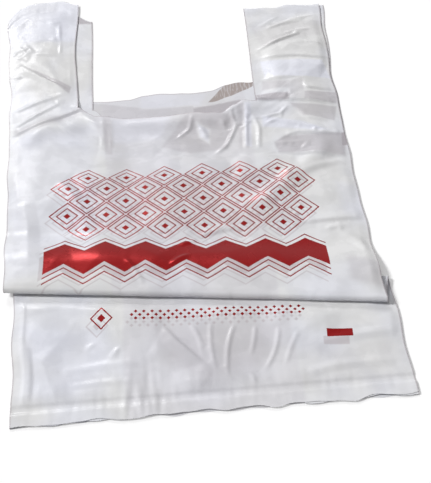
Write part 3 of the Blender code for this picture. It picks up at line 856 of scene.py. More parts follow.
@dataclass
class BagShape:
    """The laid bag's shape: where each point of the flat bag lies, for any layer."""

    cut: BagCut = field(default_factory=BagCut)
    layers: Layers = field(default_factory=Layers)
    lap: Lap = field(default_factory=Lap)
    lie: Lie = field(default_factory=Lie)
    folds: BroadFolds = field(default_factory=BroadFolds)
    upper: Wrinkles = field(default_factory=lambda: Wrinkles(
        creases=(*LEFT_HANDLE_CREASES, *MOUTH_CREASES, *RIGHT_HANDLE_CREASES, *FLANK_CREASES),
        seed=11, box=(-190.0, 190.0, -150.0, 270.0), calm=0.30,
        crumpled_places=(
            (-112.0, 160.0, 75.0, -0.22), (115.0, 130.0, 70.0, 0.6), (45.0, 30.0, 45.0, 0.8),
            (115.0, 20.0, 50.0, 0.9), (-110.0, 70.0, 30.0, 0.15))))
    lower: Wrinkles = field(default_factory=lambda: Wrinkles(
        creases=LOWER_CREASES, seed=23, box=(-190.0, 190.0, -270.0, -110.0), calm=0.35,
        crumpled_places=((25.0, -190.0, 55.0, 0.9), (-100.0, -200.0, 40.0, 0.3))))
    wrinkle_edge: float = 0.009
    wrinkle_weld: float = 0.012
    below_lap: Point = (0.012, 0.001)
    above_lap: float = 0.004
    edge_wave: float = 0.0005
    edge_pitch: float = 42.0
    rim_wave: float = 0.0007
    rim_pitch: float = 26.0
    rim_reach: float = 0.014
    gather_height: float = 0.00032
    gather_reach: float = 0.016
    gather_pitch: float = 7.0
    gather_stretch: float = 5.0
    gather_heading: float = 88.0
    gather_least: float = 0.22
    gather_most: float = 0.9
    gather_middle: float = -46.0
    gather_width: float = 15.0
    top_gather: float = 0.1
    top_gather_reach: float = 0.012
    top_squeeze: float = 0.12
    rim_start: float = 0.014
    rim_width: float = 0.026
    rim_calm: float = 0.85
    left_calm: float = 0.75
    left_calm_rows: Point = (0.04, 0.03)
    left_calm_cross: Point = (0.03, 0.07)
    middle_rows: Point = (0.018, 0.048)
    centre: Point = (0.0, 0.0)

    def __post_init__(self) -> None:
        """Finds the middle of the laid outline, which is the frame's origin."""
        row = np.linspace(0.0, self.cut.length, 120)
        half, inner = self.cut.half_width, self.cut.cut_half
        sides = [(-half, 0.5), (-half, 2.5), (half, 0.5), (half, 2.5),
                 (-inner, 0.0), (inner, 3.0), (-0.6 * half, 3.0), (0.6 * half, 0.0)]
        spots = [self.rest(np.full_like(row, x), row, np.full_like(row, level))[:2]
                 for x, level in sides]
        x = np.concatenate([spot[0] for spot in spots])
        y = np.concatenate([spot[1] for spot in spots])
        self.centre = (0.5 * (x.min() + x.max()), 0.5 * (y.min() + y.max()))

    def flat_y(self, cross: np.ndarray, row: np.ndarray) -> np.ndarray:
        """Flat position along: rows turn parallel to the lap near it, and sag at the mouth.

        Args:
            cross: Flat position across.
            row: Row station.

        Returns:
            Flat position along the bag.
        """
        _, _, _, _, end = self.lap.runs(self.layers)
        scale = math.cos(self.lap.angle)
        lap_start, lap_end = self.lap.back_line(self.layers) / scale, end / scale
        slant = smooth(row, lap_start - self.lap.blend, lap_start)
        slant = slant * (1.0 - smooth(row, lap_end, lap_end + self.lap.blend))
        sag = self.cut.mouth_sag * (1.0 - np.clip(cross / self.cut.cut_half, -1.0, 1.0) ** 2)
        mouth = self.cut.mouth_line
        sag = sag * smooth(row, mouth - self.cut.mouth_sag_blend, mouth)
        return row - cross * math.tan(self.lap.angle) * slant - sag

    def inner_rim(self, cross: np.ndarray, row: np.ndarray) -> np.ndarray:
        """1 at the inner edge of a handle, eased to 0 away from it."""
        handle = smooth(row, self.cut.mouth_line, self.cut.mouth_line + self.rim_start)
        return handle * (1.0 - smooth(np.abs(cross) - self.cut.cut_half, 0.0, self.rim_width))

    def flatness(self, row: np.ndarray) -> np.ndarray:
        """1 within the lap, where the broad folds are pressed flat, and 0 away from it."""
        _, _, _, _, end = self.lap.runs(self.layers)
        scale = math.cos(self.lap.angle)
        before = self.lap.back_line(self.layers) / scale - self.lap.smooth_margin
        after = end / scale - self.lap.smooth_margin
        flat = smooth(row, before - self.lap.smooth_before, before)
        return flat * (1.0 - smooth(row, after, after + self.lap.smooth_after))

    def offset(self, cross: np.ndarray, row: np.ndarray, y: np.ndarray,
               level: np.ndarray) -> np.ndarray:
        """Height of a layer over the back panel's path: its level, the welds and broad folds.

        Args:
            cross: Flat position across.
            row: Row station.
            y: Flat position along.
            level: Layer level.

        Returns:
            Offset along the path's normal.
        """
        layers, cut = self.layers, self.cut
        flat = self.flatness(row)
        middle = smooth(cut.gusset_fold - np.abs(cross), layers.middle_clear,
                        layers.middle_clear + layers.middle_blend)
        middle = middle * (1.0 - flat) * smooth(row, *self.middle_rows)
        drop = (layers.front_level - layers.middle_level) * middle
        depth = layers.pitch * np.where(level > layers.face_level, level - drop, level)
        bottom = np.exp(-((y - cut.bottom_weld) / layers.weld_reach) ** 4)
        top = np.exp(-((cut.length - y - cut.handle_weld) / layers.weld_reach) ** 4)
        welded = np.maximum(bottom, self.top_squeeze * top)
        depth = depth * (1.0 - layers.weld_squeeze * welded)
        share = (level / layers.front_level) ** layers.relief_power
        broad = self.folds.lift(cut, cross, y) * share * (1.0 - flat)
        calm = self.rim_calm * self.inner_rim(cross, row)
        low, high = self.left_calm_rows
        left = smooth(row, cut.mouth_line - low, cut.mouth_line + high)
        left = left * smooth(-cross, *self.left_calm_cross)
        broad = broad * (1.0 - np.maximum(calm, self.left_calm * left))
        return depth + broad

    def rest(self, cross: np.ndarray, row: np.ndarray, level: np.ndarray,
             lift: np.ndarray | float = 0.0) -> tuple[np.ndarray, ...]:
        """Position of web points: laid in plan, then carried along the lap's side view path.

        Args:
            cross: Flat position across.
            row: Row station.
            level: Layer level.
            lift: Extra lift along the path's normal.

        Returns:
            Position across, along and up, and the run along the path.
        """
        y = self.flat_y(cross, row)
        offset = self.offset(cross, row, y, level) + lift
        x, y = self.lie.shift(self.cut, self.layers, cross, y, level)
        sine, cosine = math.sin(self.lap.angle), math.cos(self.lap.angle)
        run = x * sine + y * cosine
        side = x * cosine - y * sine
        path = self.lap.path(self.layers, self.cut.length)
        heading = np.interp(run, path[3], path[4])
        plan = np.interp(run, path[0], path[1]) - offset * np.sin(heading)
        height = np.interp(run, path[0], path[2]) + offset * np.cos(heading)
        out_x = side * cosine + plan * sine - self.centre[0]
        out_y = plan * cosine - side * sine - self.centre[1]
        return out_x, out_y, height + 0.5 * self.layers.film, run

    def place(self, cross: np.ndarray, row: np.ndarray, level: np.ndarray,
              wrinkled: float) -> tuple[np.ndarray, ...]:
        """Position of web points with the wrinkles of the panel and the waves of its edges.

        The wrinkles are read at each point's place in plan and lift it along the path's normal.
        Free and folded edges then sway a little in plan.

        Args:
            cross: Flat position across.
            row: Row station.
            level: Layer level.
            wrinkled: Share of the wrinkles that this layer takes.

        Returns:
            Position across, along and up.
        """
        cut = self.cut
        x, y, _, run = self.rest(cross, row, level)
        x_mm, y_mm = x / MM, y / MM
        _, _, front_start, front_end, _ = self.lap.runs(self.layers)
        line = self.lap.front_line
        below = 1.0 - smooth(run, line - self.below_lap[0], line - self.below_lap[1])
        above = smooth(run, front_start, front_end + self.above_lap)
        lift = below * self.lower.lift(x_mm, y_mm) + above * self.upper.lift(x_mm, y_mm)
        edge = smooth(cut.half_width - np.abs(cross), 0.0, self.wrinkle_edge)
        edge = edge * (1.0 - self.rim_calm * self.inner_rim(cross, row))
        weld = smooth(row, cut.bottom_weld, cut.bottom_weld + self.wrinkle_weld)
        top = smooth(cut.length - row, cut.handle_weld, cut.handle_weld + self.wrinkle_weld)
        lift = lift * MM * wrinkled * edge * weld * top
        x, y, z, _ = self.rest(cross, row, level, lift)

        near_weld = np.exp(-np.abs(row - cut.bottom_weld) / self.gather_reach)
        near_top = np.exp(
            -np.abs(cut.length - row - cut.handle_weld) / self.top_gather_reach)
        gather = random_field(x_mm, y_mm, self.gather_pitch, GATHER_SEED, self.gather_stretch,
                              self.gather_heading)
        bell = np.exp(-((x_mm - self.gather_middle) / self.gather_width) ** 2)
        place = self.gather_least + self.gather_most * bell
        z = z + self.gather_height * (1.0 + gather) * np.maximum(
            near_weld * place, self.top_gather * near_top) * (level / self.layers.front_level)
        side = np.sign(cross) * smooth(np.abs(cross), cut.cut_half, cut.half_width)
        x = x + side * self.edge_wave * random_field(
            0.0 * y_mm, y_mm, self.edge_pitch, EDGE_SEED)
        foot = 1.0 - smooth(row, 0.0, self.rim_reach)
        brow = smooth(row, cut.length - self.rim_reach, cut.length)
        seed = RIM_SEED + int(10 * float(np.mean(level)))
        y = y + self.rim_wave * (foot + brow) * random_field(
            x_mm, 0.0 * x_mm, self.rim_pitch, seed)
        return x, y, z


def grid_mesh(name: str, points: tuple[np.ndarray, np.ndarray, np.ndarray],
              chart: tuple[np.ndarray, np.ndarray], tone: np.ndarray, keep: np.ndarray,
              flip: bool) -> bpy.types.Object:
    """Mesh of a grid of points: one quad for each kept cell, with the chart as its UV map.

    Args:
        name: Name of the object and its mesh.
        points: Positions across, along and up, each of rows by columns.
        chart: UV position of each point.
        tone: Painted shade, over 0, or painted highlight, under 0, at each point.
        keep: Which cells have a face.
        flip: Whether the faces look the other way.

    Returns:
        The new object, at the origin.
    """
    rows, columns = points[0].shape
    index = np.arange(rows * columns).reshape(rows, columns)
    quads = np.stack([index[:-1, :-1], index[:-1, 1:], index[1:, 1:], index[1:, :-1]], axis=-1)
    quads = quads[keep]
    if flip:
        quads = quads[:, ::-1]
    used, corners = np.unique(quads, return_inverse=True)
    corners = corners.reshape(-1)
    place = np.stack([axis.reshape(-1)[used] for axis in points], axis=1)
    mesh = bpy.data.meshes.new(name)
    mesh.vertices.add(len(place))
    mesh.vertices.foreach_set("co", place.astype(np.float32).ravel())
    mesh.loops.add(len(corners))
    mesh.loops.foreach_set("vertex_index", corners.astype(np.int32))
    mesh.polygons.add(len(quads))
    mesh.polygons.foreach_set("loop_start", np.arange(0, len(corners), 4, dtype=np.int32))
    mesh.polygons.foreach_set("use_smooth", np.ones(len(quads), bool))
    layer = mesh.uv_layers.new(name="flat_bag")
    uv = np.stack([axis.reshape(-1)[used] for axis in chart], axis=1)[corners]
    layer.data.foreach_set("uv", uv.astype(np.float32).ravel())
    mesh.update(calc_edges=True)
    mesh.validate()
    # Point attribute that carries the painted shade and painted highlight.
    shade = mesh.attributes.new("painted_shade_tone", "FLOAT", "POINT")
    shade.data.foreach_set("value", tone.reshape(-1)[used].astype(np.float32))
    piece = bpy.data.objects.new(name, mesh)
    bpy.context.scene.collection.objects.link(piece)
    return piece


@dataclass
class Sheet:
    """One sheet of film, from a row station to another, as a grid over the flat bag."""

    shape: BagShape
    name: str
    pitch: float
    low_row: float
    high_row: float
    flat_width: float
    wrinkled: float = 0.0
    fineness: tuple[float, ...] = (1.0, 0.5, 1.0, 0.4, 1.0, 1.0)
    fold_steps: int = 4
    shade_patches: tuple[ShadeAndHighlightPatch, ...] = ()

    def rows(self) -> np.ndarray:
        """Row stations, closer together round the lap's folds, with one on the mouth's line.

        Returns:
            The stations, from the lower end to the upper end.
        """
        back_start, back_end, front_start, front_end, _ = self.shape.lap.runs(self.shape.layers)
        scale = math.cos(self.shape.lap.angle)
        stops = np.array([0.0, back_start, back_end, front_start, front_end]) / scale
        stops = np.concatenate([stops, [self.shape.cut.mouth_line, self.shape.cut.length]])
        fine = np.array(self.fineness) * self.pitch
        stations = [np.linspace(a, b, max(3, int(round((b - a) / f))), endpoint=False)
                    for a, b, f in zip(stops[:-1], stops[1:], fine)]
        every = np.append(np.concatenate(stations), self.shape.cut.length)
        low = int(np.argmin(np.abs(every - self.low_row)))
        high = int(np.argmin(np.abs(every - self.high_row)))
        return every[low:high + 1]

    def section(self) -> tuple[np.ndarray, np.ndarray]:
        """Cross stations and layer levels of the sheet, from one of its edges to the other."""
        raise NotImplementedError

    def flips(self) -> bool:
        """Whether the grid's faces look inwards as they are made."""
        return False

    def build(self) -> bpy.types.Object:
        """Lays the grid of the sheet, leaves the mouth's cells out and paints the shade and
        highlight of its patches.

        Returns:
            The sheet's object.
        """
        cut = self.shape.cut
        rows = self.rows()
        cross, level = self.section()
        cross, row = np.meshgrid(cross, rows)
        level = np.broadcast_to(level, cross.shape)
        points = self.shape.place(cross, row, level, self.wrinkled)
        chart = ((cross + 0.5 * CHART_SPAN) / CHART_SPAN,
                 self.shape.flat_y(cross, row) / CHART_SPAN + CHART_FOOT)
        inside = np.abs(cross) < cut.cut_half + TINY
        above = row > cut.mouth_line - TINY
        mouth = inside[:-1, :-1] & inside[:-1, 1:] & above[:-1, :-1]
        # Painted shade and highlight of the sheet's patches, read at each point's place in plan.
        tone = np.zeros_like(cross)
        for patch in self.shade_patches:
            tone += patch.tone * patch.mask(points[0] / MM, points[1] / MM)
        piece = grid_mesh(self.name, points, chart, tone, ~mouth, self.flips())
        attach(piece, "root")
        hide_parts(NODE)
        return piece

    def stations(self, low: float, high: float) -> np.ndarray:
        """Even stations between two cross positions, at about the sheet's pitch."""
        return np.linspace(low, high, max(3, int(round(abs(high - low) / self.pitch)) + 1))


@dataclass
class Panel(Sheet):
    """Front or back panel, rounded into the side folds at both edges."""

    level: float = 3.0

    def section(self) -> tuple[np.ndarray, np.ndarray]:
        """Level across the panel, then a quarter circle towards the middle of the fold.

        Returns:
            Cross stations and levels.
        """
        cut, radius = self.shape.cut, 0.5 * self.shape.layers.pitch
        inward = 1.0 if self.flips() else -1.0
        turn = np.linspace(0.0, 0.5 * math.pi, self.fold_steps)
        edge = cut.half_width - radius
        strip = self.stations(cut.cut_half, edge)
        middle = self.stations(-cut.cut_half, cut.cut_half)
        right = np.concatenate([strip, edge + radius * np.sin(turn[1:])])
        cross = np.concatenate([-right[::-1], middle[1:-1], right])
        round_off = np.concatenate([np.zeros(len(strip)), 0.5 * (1.0 - np.cos(turn[1:]))])
        level = np.concatenate([round_off[::-1], np.zeros(len(middle) - 2), round_off])
        return cross, self.level + inward * level

    def flips(self) -> bool:
        """The back panel's grid looks inwards as it is made."""
        return self.level < 0.5 * self.shape.layers.front_level


@dataclass
class Gusset(Sheet):
    """Side gusset, folded in: front half, inner fold and back half."""

    side: float = 1.0

    def section(self) -> tuple[np.ndarray, np.ndarray]:
        """From the front side fold inwards on level 2, half a circle, and out on level 1.

        Returns:
            Cross stations and levels.
        """
        cut, radius = self.shape.cut, 0.5 * self.shape.layers.pitch
        turn = np.linspace(0.0, 0.5 * math.pi, self.fold_steps)
        outer = cut.half_width - radius
        inner = cut.gusset_fold + radius
        strip = np.concatenate([self.stations(outer, cut.cut_half)[:-1],
                                self.stations(cut.cut_half, inner)])
        fold = cut.half_width - radius * (1.0 - np.cos(turn))
        bend = np.concatenate([2.5 - 0.5 * np.sin(turn), np.full(len(strip) - 1, 2.0)])
        half = np.concatenate([fold, strip[1:]])
        tip = inner - radius * np.sin(turn[1:])
        tip_level = 2.0 - 0.5 * (1.0 - np.cos(turn[1:]))
        front = np.concatenate([half, tip])
        front_level = np.concatenate([bend, tip_level])
        cross = np.concatenate([front, front[-2::-1]])
        level = np.concatenate([front_level, 3.0 - front_level[-2::-1]])
        return self.side * cross, level

    def flips(self) -> bool:
        """The left gusset's grid is a mirror of the right one's."""
        return self.side < 0.0


class NodeDesk:
    """Places and links nodes in one tree, and feeds numbers or sockets to them alike."""

    def __init__(self, tree: bpy.types.NodeTree) -> None:
        """Takes the tree to work in."""
        self.tree = tree
        self.count = 0

    def add(self, kind: str, **settings: object) -> bpy.types.Node:
        """New node of a kind with some settings.

        Args:
            kind: Blender's name of the node type.
            **settings: Properties of the node.

        Returns:
            The node.
        """
        node = self.tree.nodes.new(kind)
        line, column = divmod(self.count, NODES_ACROSS)
        node.location = (NODE_STEP * column, -NODE_STEP * line)
        self.count += 1
        for name, value in settings.items():
            setattr(node, name, value)
        return node

    def feed(self, socket: Socket, value: object) -> None:
        """Links a socket to an input, or sets the input's own value."""
        if isinstance(value, Socket):
            self.tree.links.new(value, socket)
        else:
            socket.default_value = value

    def math(self, operation: str, *values: object) -> Socket:
        """Result of a Math node on up to three numbers or sockets."""
        node = self.add("ShaderNodeMath", operation=operation)
        for socket, value in zip(node.inputs, values):
            self.feed(socket, value)
        return node.outputs[0]

    def apart(self, first: object, second: object) -> Socket:
        """Distance between two numbers."""
        return self.math("ABSOLUTE", self.math("SUBTRACT", first, second))

    def split(self, vector: object) -> tuple[Socket, Socket]:
        """First two parts of a vector."""
        node = self.add("ShaderNodeSeparateXYZ")
        self.feed(node.inputs[0], vector)
        return node.outputs[0], node.outputs[1]

    def mapped(self, vector: object, kind: str = "POINT", **settings: Vector3) -> Socket:
        """Vector moved, turned or scaled by a Mapping node.

        Args:
            vector: The vector.
            kind: Order of the steps: as for a point or as for a texture.
            **settings: Location, Rotation or Scale.

        Returns:
            The new vector.
        """
        node = self.add("ShaderNodeMapping", vector_type=kind)
        self.feed(node.inputs["Vector"], vector)
        for name, value in settings.items():
            node.inputs[name].default_value = value
        return node.outputs[0]

    def band(self, distance: object, half: float, soft: object) -> Socket:
        """1 where a distance is below half, eased to 0 over the softness.

        Args:
            distance: Distance from the middle of the band.
            half: Half width of the band.
            soft: Half width of its soft rim.

        Returns:
            The mask.
        """
        node = self.add("ShaderNodeMapRange", interpolation_type="SMOOTHSTEP")
        self.feed(node.inputs["Value"], distance)
        self.feed(node.inputs["From Min"], self.math("SUBTRACT", half, soft))
        self.feed(node.inputs["From Max"], self.math("ADD", half, soft))
        node.inputs["To Min"].default_value = 1.0
        node.inputs["To Max"].default_value = 0.0
        return node.outputs["Result"]

    def ramp(self, value: object, low: float, high: float, first: float,
             last: float) -> Socket:
        """Eased change from one value to another between two readings."""
        node = self.add("ShaderNodeMapRange", interpolation_type="SMOOTHSTEP")
        for socket, number in zip(node.inputs, (value, low, high, first, last)):
            self.feed(socket, number)
        return node.outputs["Result"]

    def mix(self, share: object, first: object, second: object) -> Socket:
        """Mix of two colours by a share."""
        node = self.add("ShaderNodeMix", data_type="RGBA", clamp_factor=True)
        self.feed(node.inputs[0], share)
        self.feed(node.inputs[6], first)
        self.feed(node.inputs[7], second)
        return node.outputs[2]

    def noise(self, vector: object, scale: float, detail: float = 2.0) -> Socket:
        """Noise from 0 to 1 at a scale of features per unit."""
        node = self.add("ShaderNodeTexNoise", noise_dimensions="2D")
        self.feed(node.inputs["Vector"], vector)
        node.inputs["Scale"].default_value = scale
        node.inputs["Detail"].default_value = detail
        return node.outputs["Fac"]


def new_group(name: str, inputs: tuple[str, ...], outputs: tuple[str, ...]) -> bpy.types.NodeTree:
    """Empty shader node group with named sockets of numbers, but for an input named Vector.

    Args:
        name: Name of the group.
        inputs: Names of the inputs.
        outputs: Names of the outputs.

    Returns:
        The group's tree.
    """
    tree = bpy.data.node_groups.new(name, "ShaderNodeTree")
    for labels, way in ((inputs, "INPUT"), (outputs, "OUTPUT")):
        for label in labels:
            kind = "NodeSocketVector" if label == "Vector" else "NodeSocketFloat"
            tree.interface.new_socket(label, in_out=way, socket_type=kind)
    return tree


@dataclass(frozen=True)
class PrintDesign:
    """Red print: staggered diamonds over nested zigzags, and a dotted border lower down (mm)."""

    tilt: float = 3.0
    centre: Point = (0.0, 258.0)
    diamond: Point = (32.0, 30.0)
    field_half: Point = (97.0, 31.0)
    rings: Point = (0.455, 0.27)
    heart: float = 0.095
    line: float = 0.5
    zigzag_at: float = -64.5
    zigzag_swing: float = 5.5
    zigzag_pitch: float = 32.0
    zigzag_thick: float = 24.0
    zigzag_lines: tuple[float, ...] = (4.0, -4.0, -9.5)
    half_length: float = 112.0
    border_centre: Point = (9.0, 84.0)
    border_half: Point = (68.0, 6.4)
    dot: Point = (6.2, 6.4)
    dot_size: float = 0.24
    dot_soft: float = 0.16
    bar_centre: Point = (90.6, -22.6)
    bar_half: Point = (9.8, 3.6)
    badge_centre: Point = (-88.0, -2.0)
    badge_flat: float = 0.85
    badge_ring: float = 8.0
    badge_line: float = 0.7
    badge_heart: float = 3.2

    def frame_of(self, desk: NodeDesk, vector: object, centre: Point) -> tuple[Socket, Socket]:
        """Coordinates turned by the print's tilt round a centre."""
        angle = math.radians(self.tilt)
        sine, cosine = math.sin(angle), math.cos(angle)
        x, y = centre
        return desk.split(desk.mapped(vector, Rotation=(0.0, 0.0, angle), Location=(
            y * sine - x * cosine, -x * sine - y * cosine, 0.0)))

    @staticmethod
    def diamonds(desk: NodeDesk, u: object, v: object, size: Point,
                 half: Point) -> tuple[Socket, Socket]:
        """Staggered diamond cells: how far a point is from its cell's middle, and a clip mask.

        Args:
            desk: Where the nodes go.
            u: Position along the print.
            v: Position up the print.
            size: Width and height of a diamond.
            half: Half length and half height of the field that cells' middles lie in.

        Returns:
            Distance, 0 at a cell's middle and 0.5 at its rim, and the mask of whole cells.
        """
        a, b = desk.math("DIVIDE", u, size[0]), desk.math("DIVIDE", v, size[1])
        s, t = desk.math("ADD", a, b), desk.math("SUBTRACT", a, b)
        cell_s, cell_t = desk.math("FLOOR", s), desk.math("FLOOR", t)
        off_s = desk.apart(desk.math("SUBTRACT", s, cell_s), 0.5)
        off_t = desk.apart(desk.math("SUBTRACT", t, cell_t), 0.5)
        across = desk.math("ADD", desk.math("ADD", cell_s, cell_t), 1.0)
        across = desk.math("ABSOLUTE", desk.math("MULTIPLY", across, 0.5 * size[0]))
        up = desk.math("SUBTRACT", cell_s, cell_t)
        up = desk.math("ABSOLUTE", desk.math("MULTIPLY", up, 0.5 * size[1]))
        clip = desk.math("MULTIPLY", desk.math("LESS_THAN", across, half[0]),
                         desk.math("LESS_THAN", up, half[1]))
        return desk.math("MAXIMUM", off_s, off_t), clip

    def group(self) -> bpy.types.NodeTree:
        """Node group that gives the ink's mask over the flat bag.

        Returns:
            The group's tree, with inputs Vector in millimetres and Softness, and output Ink.
        """
        tree = new_group("film_print", ("Vector", "Softness"), ("Ink",))
        desk = NodeDesk(tree)
        inlet = desk.add("NodeGroupInput")
        vector, soft = inlet.outputs["Vector"], inlet.outputs["Softness"]
        u, v = self.frame_of(desk, vector, self.centre)
        per_mm = math.hypot(1.0 / self.diamond[0], 1.0 / self.diamond[1])
        soft_cell = desk.math("MULTIPLY", soft, per_mm)
        cell, clip = self.diamonds(desk, u, v, self.diamond, self.field_half)
        bands = [desk.band(desk.apart(cell, ring), self.line * per_mm, soft_cell)
                 for ring in self.rings]
        bands.append(desk.band(cell, self.heart, soft_cell))
        marks = [desk.math("MULTIPLY", clip, band) for band in bands]

        saw = desk.math("FRACT", desk.math("DIVIDE", u, self.zigzag_pitch))
        swing = desk.math("MULTIPLY_ADD", desk.apart(saw, 0.5), 4.0 * self.zigzag_swing,
                          -self.zigzag_swing)
        rise = desk.math("SUBTRACT", desk.math("SUBTRACT", v, self.zigzag_at), swing)
        ends = desk.band(desk.math("ABSOLUTE", u), self.half_length, soft)
        slope = math.hypot(1.0, 4.0 * self.zigzag_swing / self.zigzag_pitch)
        body = desk.band(desk.math("ABSOLUTE", rise), 0.5 * self.zigzag_thick, soft)
        marks.append(desk.math("MULTIPLY", ends, body))
        for step in self.zigzag_lines:
            away = desk.apart(rise, math.copysign(0.5 * self.zigzag_thick, step) + step)
            marks.append(desk.math("MULTIPLY", ends, desk.band(away, self.line * slope, soft)))

        u, v = self.frame_of(desk, vector, self.border_centre)
        dots, clip = self.diamonds(desk, u, v, self.dot, self.border_half)
        dots = desk.band(dots, self.dot_size, desk.math("MULTIPLY", soft, self.dot_soft))
        marks.append(desk.math("MULTIPLY", clip, dots))
        sides = [desk.band(desk.apart(at, centre), half, soft)
                 for at, centre, half in zip((u, v), self.bar_centre, self.bar_half)]
        marks.append(desk.math("MULTIPLY", *sides))
        badge_u, badge_v = (desk.apart(at, centre)
                            for at, centre in zip((u, v), self.badge_centre))
        badge = desk.math("ADD", badge_u, desk.math("MULTIPLY", badge_v, self.badge_flat))
        marks.append(desk.band(desk.apart(badge, self.badge_ring), self.badge_line, soft))
        marks.append(desk.band(badge, self.badge_heart, soft))
        ink = marks[0]
        for mark in marks[1:]:
            ink = desk.math("MAXIMUM", ink, mark)
        outlet = desk.add("NodeGroupOutput")
        desk.feed(outlet.inputs["Ink"], ink)
        return tree


@dataclass
class FilmEffects:
    """Node groups that the film's finishes share, with their sizes in millimetres."""

    design: PrintDesign = field(default_factory=PrintDesign)
    tint_scale: float = 0.014
    tint_range: Point = (0.35, 0.68)
    cloud_scale: float = 0.05
    middle_half: float = 63.5
    middle_soft: float = 2.2
    middle_sway: float = 8.0
    # Where the painted shade line runs, the side folds, the mouth's cut and the handles' inner
    # edges, and its width and softness.
    side: float = 146.0
    mouth_side: float = 72.0
    mouth_foot: float = 389.0
    mouth_dip: float = 4.0
    rim: Point = (0.9, 0.5)
    warp_scale: float = 0.04
    warp: float = 16.0
    wide_scale: float = 0.045
    wide_height: float = -2.4
    thin_scale: float = 0.22
    thin_stretch: float = 0.3
    thin_turn: float = 0.3
    thin_height: float = -0.8

    def __post_init__(self) -> None:
        """Builds the print, haze and crinkle groups once."""
        self.print_group = self.design.group()
        self.haze_group = self.haze()
        self.crinkle_group = self.crinkle()

    def haze(self) -> bpy.types.NodeTree:
        """Slow changes of the film's tint, opacity and gloss, and masks of places on the bag.

        Tint, Opacity and Dull are noise. Single is the middle of the bag, between the gussets'
        folds, and EdgeShade is a line of painted shade along the side folds, the mouth and the
        handles' inner edges.

        Returns:
            The group, with input Vector in millimetres.
        """
        tree = new_group("film_haze", ("Vector",), ("Tint", "Opacity", "Dull", "Single", "EdgeShade"))
        desk = NodeDesk(tree)
        vector = desk.add("NodeGroupInput").outputs["Vector"]
        broad = desk.noise(vector, self.tint_scale)
        cloud = desk.noise(vector, self.cloud_scale)
        outlet = desk.add("NodeGroupOutput")
        desk.feed(outlet.inputs["Tint"], desk.ramp(broad, *self.tint_range, 0.0, 1.0))
        desk.feed(outlet.inputs["Opacity"], cloud)
        desk.feed(outlet.inputs["Dull"], cloud)
        x, y = desk.split(vector)
        sway = desk.math("MULTIPLY_ADD", broad, self.middle_sway, -0.5 * self.middle_sway)
        aside = desk.math("ABSOLUTE", desk.math("ADD", x, sway))
        desk.feed(outlet.inputs["Single"], desk.band(aside, self.middle_half, self.middle_soft))
        # Mask of the painted shade line: near a side fold, or near the mouth's cut and the handles'
        # inner edges.
        across = desk.math("ABSOLUTE", x)
        side = desk.math("SUBTRACT", self.side, across)
        dip = desk.math("MINIMUM", desk.math("DIVIDE", across, self.mouth_side), 1.0)
        dip = desk.math("MULTIPLY_ADD", desk.math("POWER", dip, 2.0), self.mouth_dip,
                        self.mouth_foot)
        notch = desk.math("MAXIMUM", desk.math("SUBTRACT", across, self.mouth_side),
                          desk.math("SUBTRACT", dip, y))
        desk.feed(outlet.inputs["EdgeShade"], desk.band(desk.math("MINIMUM", side, notch), *self.rim))
        return tree

    def crinkle(self) -> bpy.types.NodeTree:
        """Height of the finest wrinkles in millimetres: bent noise folded about its middle.

        Returns:
            The group, with inputs Vector in millimetres and Depth, and output Height.
        """
        tree = new_group("film_crinkle", ("Vector", "Depth"), ("Height",))
        desk = NodeDesk(tree)
        inlet = desk.add("NodeGroupInput")
        vector = inlet.outputs["Vector"]
        warp = desk.add("ShaderNodeTexNoise", noise_dimensions="2D")
        desk.feed(warp.inputs["Vector"], vector)
        warp.inputs["Scale"].default_value = self.warp_scale
        push = desk.add("ShaderNodeVectorMath", operation="MULTIPLY_ADD")
        desk.feed(push.inputs[0], warp.outputs["Color"])
        push.inputs[1].default_value = (self.warp, self.warp, 0.0)
        desk.feed(push.inputs[2], vector)
        bent = push.outputs[0]
        wide = desk.apart(desk.noise(bent, self.wide_scale, 1.0), 0.5)
        lengthened = desk.mapped(bent, Scale=(1.0, self.thin_stretch, 1.0),
                                 Rotation=(0.0, 0.0, self.thin_turn))
        thin = desk.apart(desk.noise(lengthened, self.thin_scale), 0.5)
        both = desk.math("ADD", desk.math("MULTIPLY", wide, self.wide_height),
                         desk.math("MULTIPLY", thin, self.thin_height))
        outlet = desk.add("NodeGroupOutput")
        desk.feed(outlet.inputs["Height"], desk.math("MULTIPLY", both, inlet.outputs["Depth"]))
        return tree


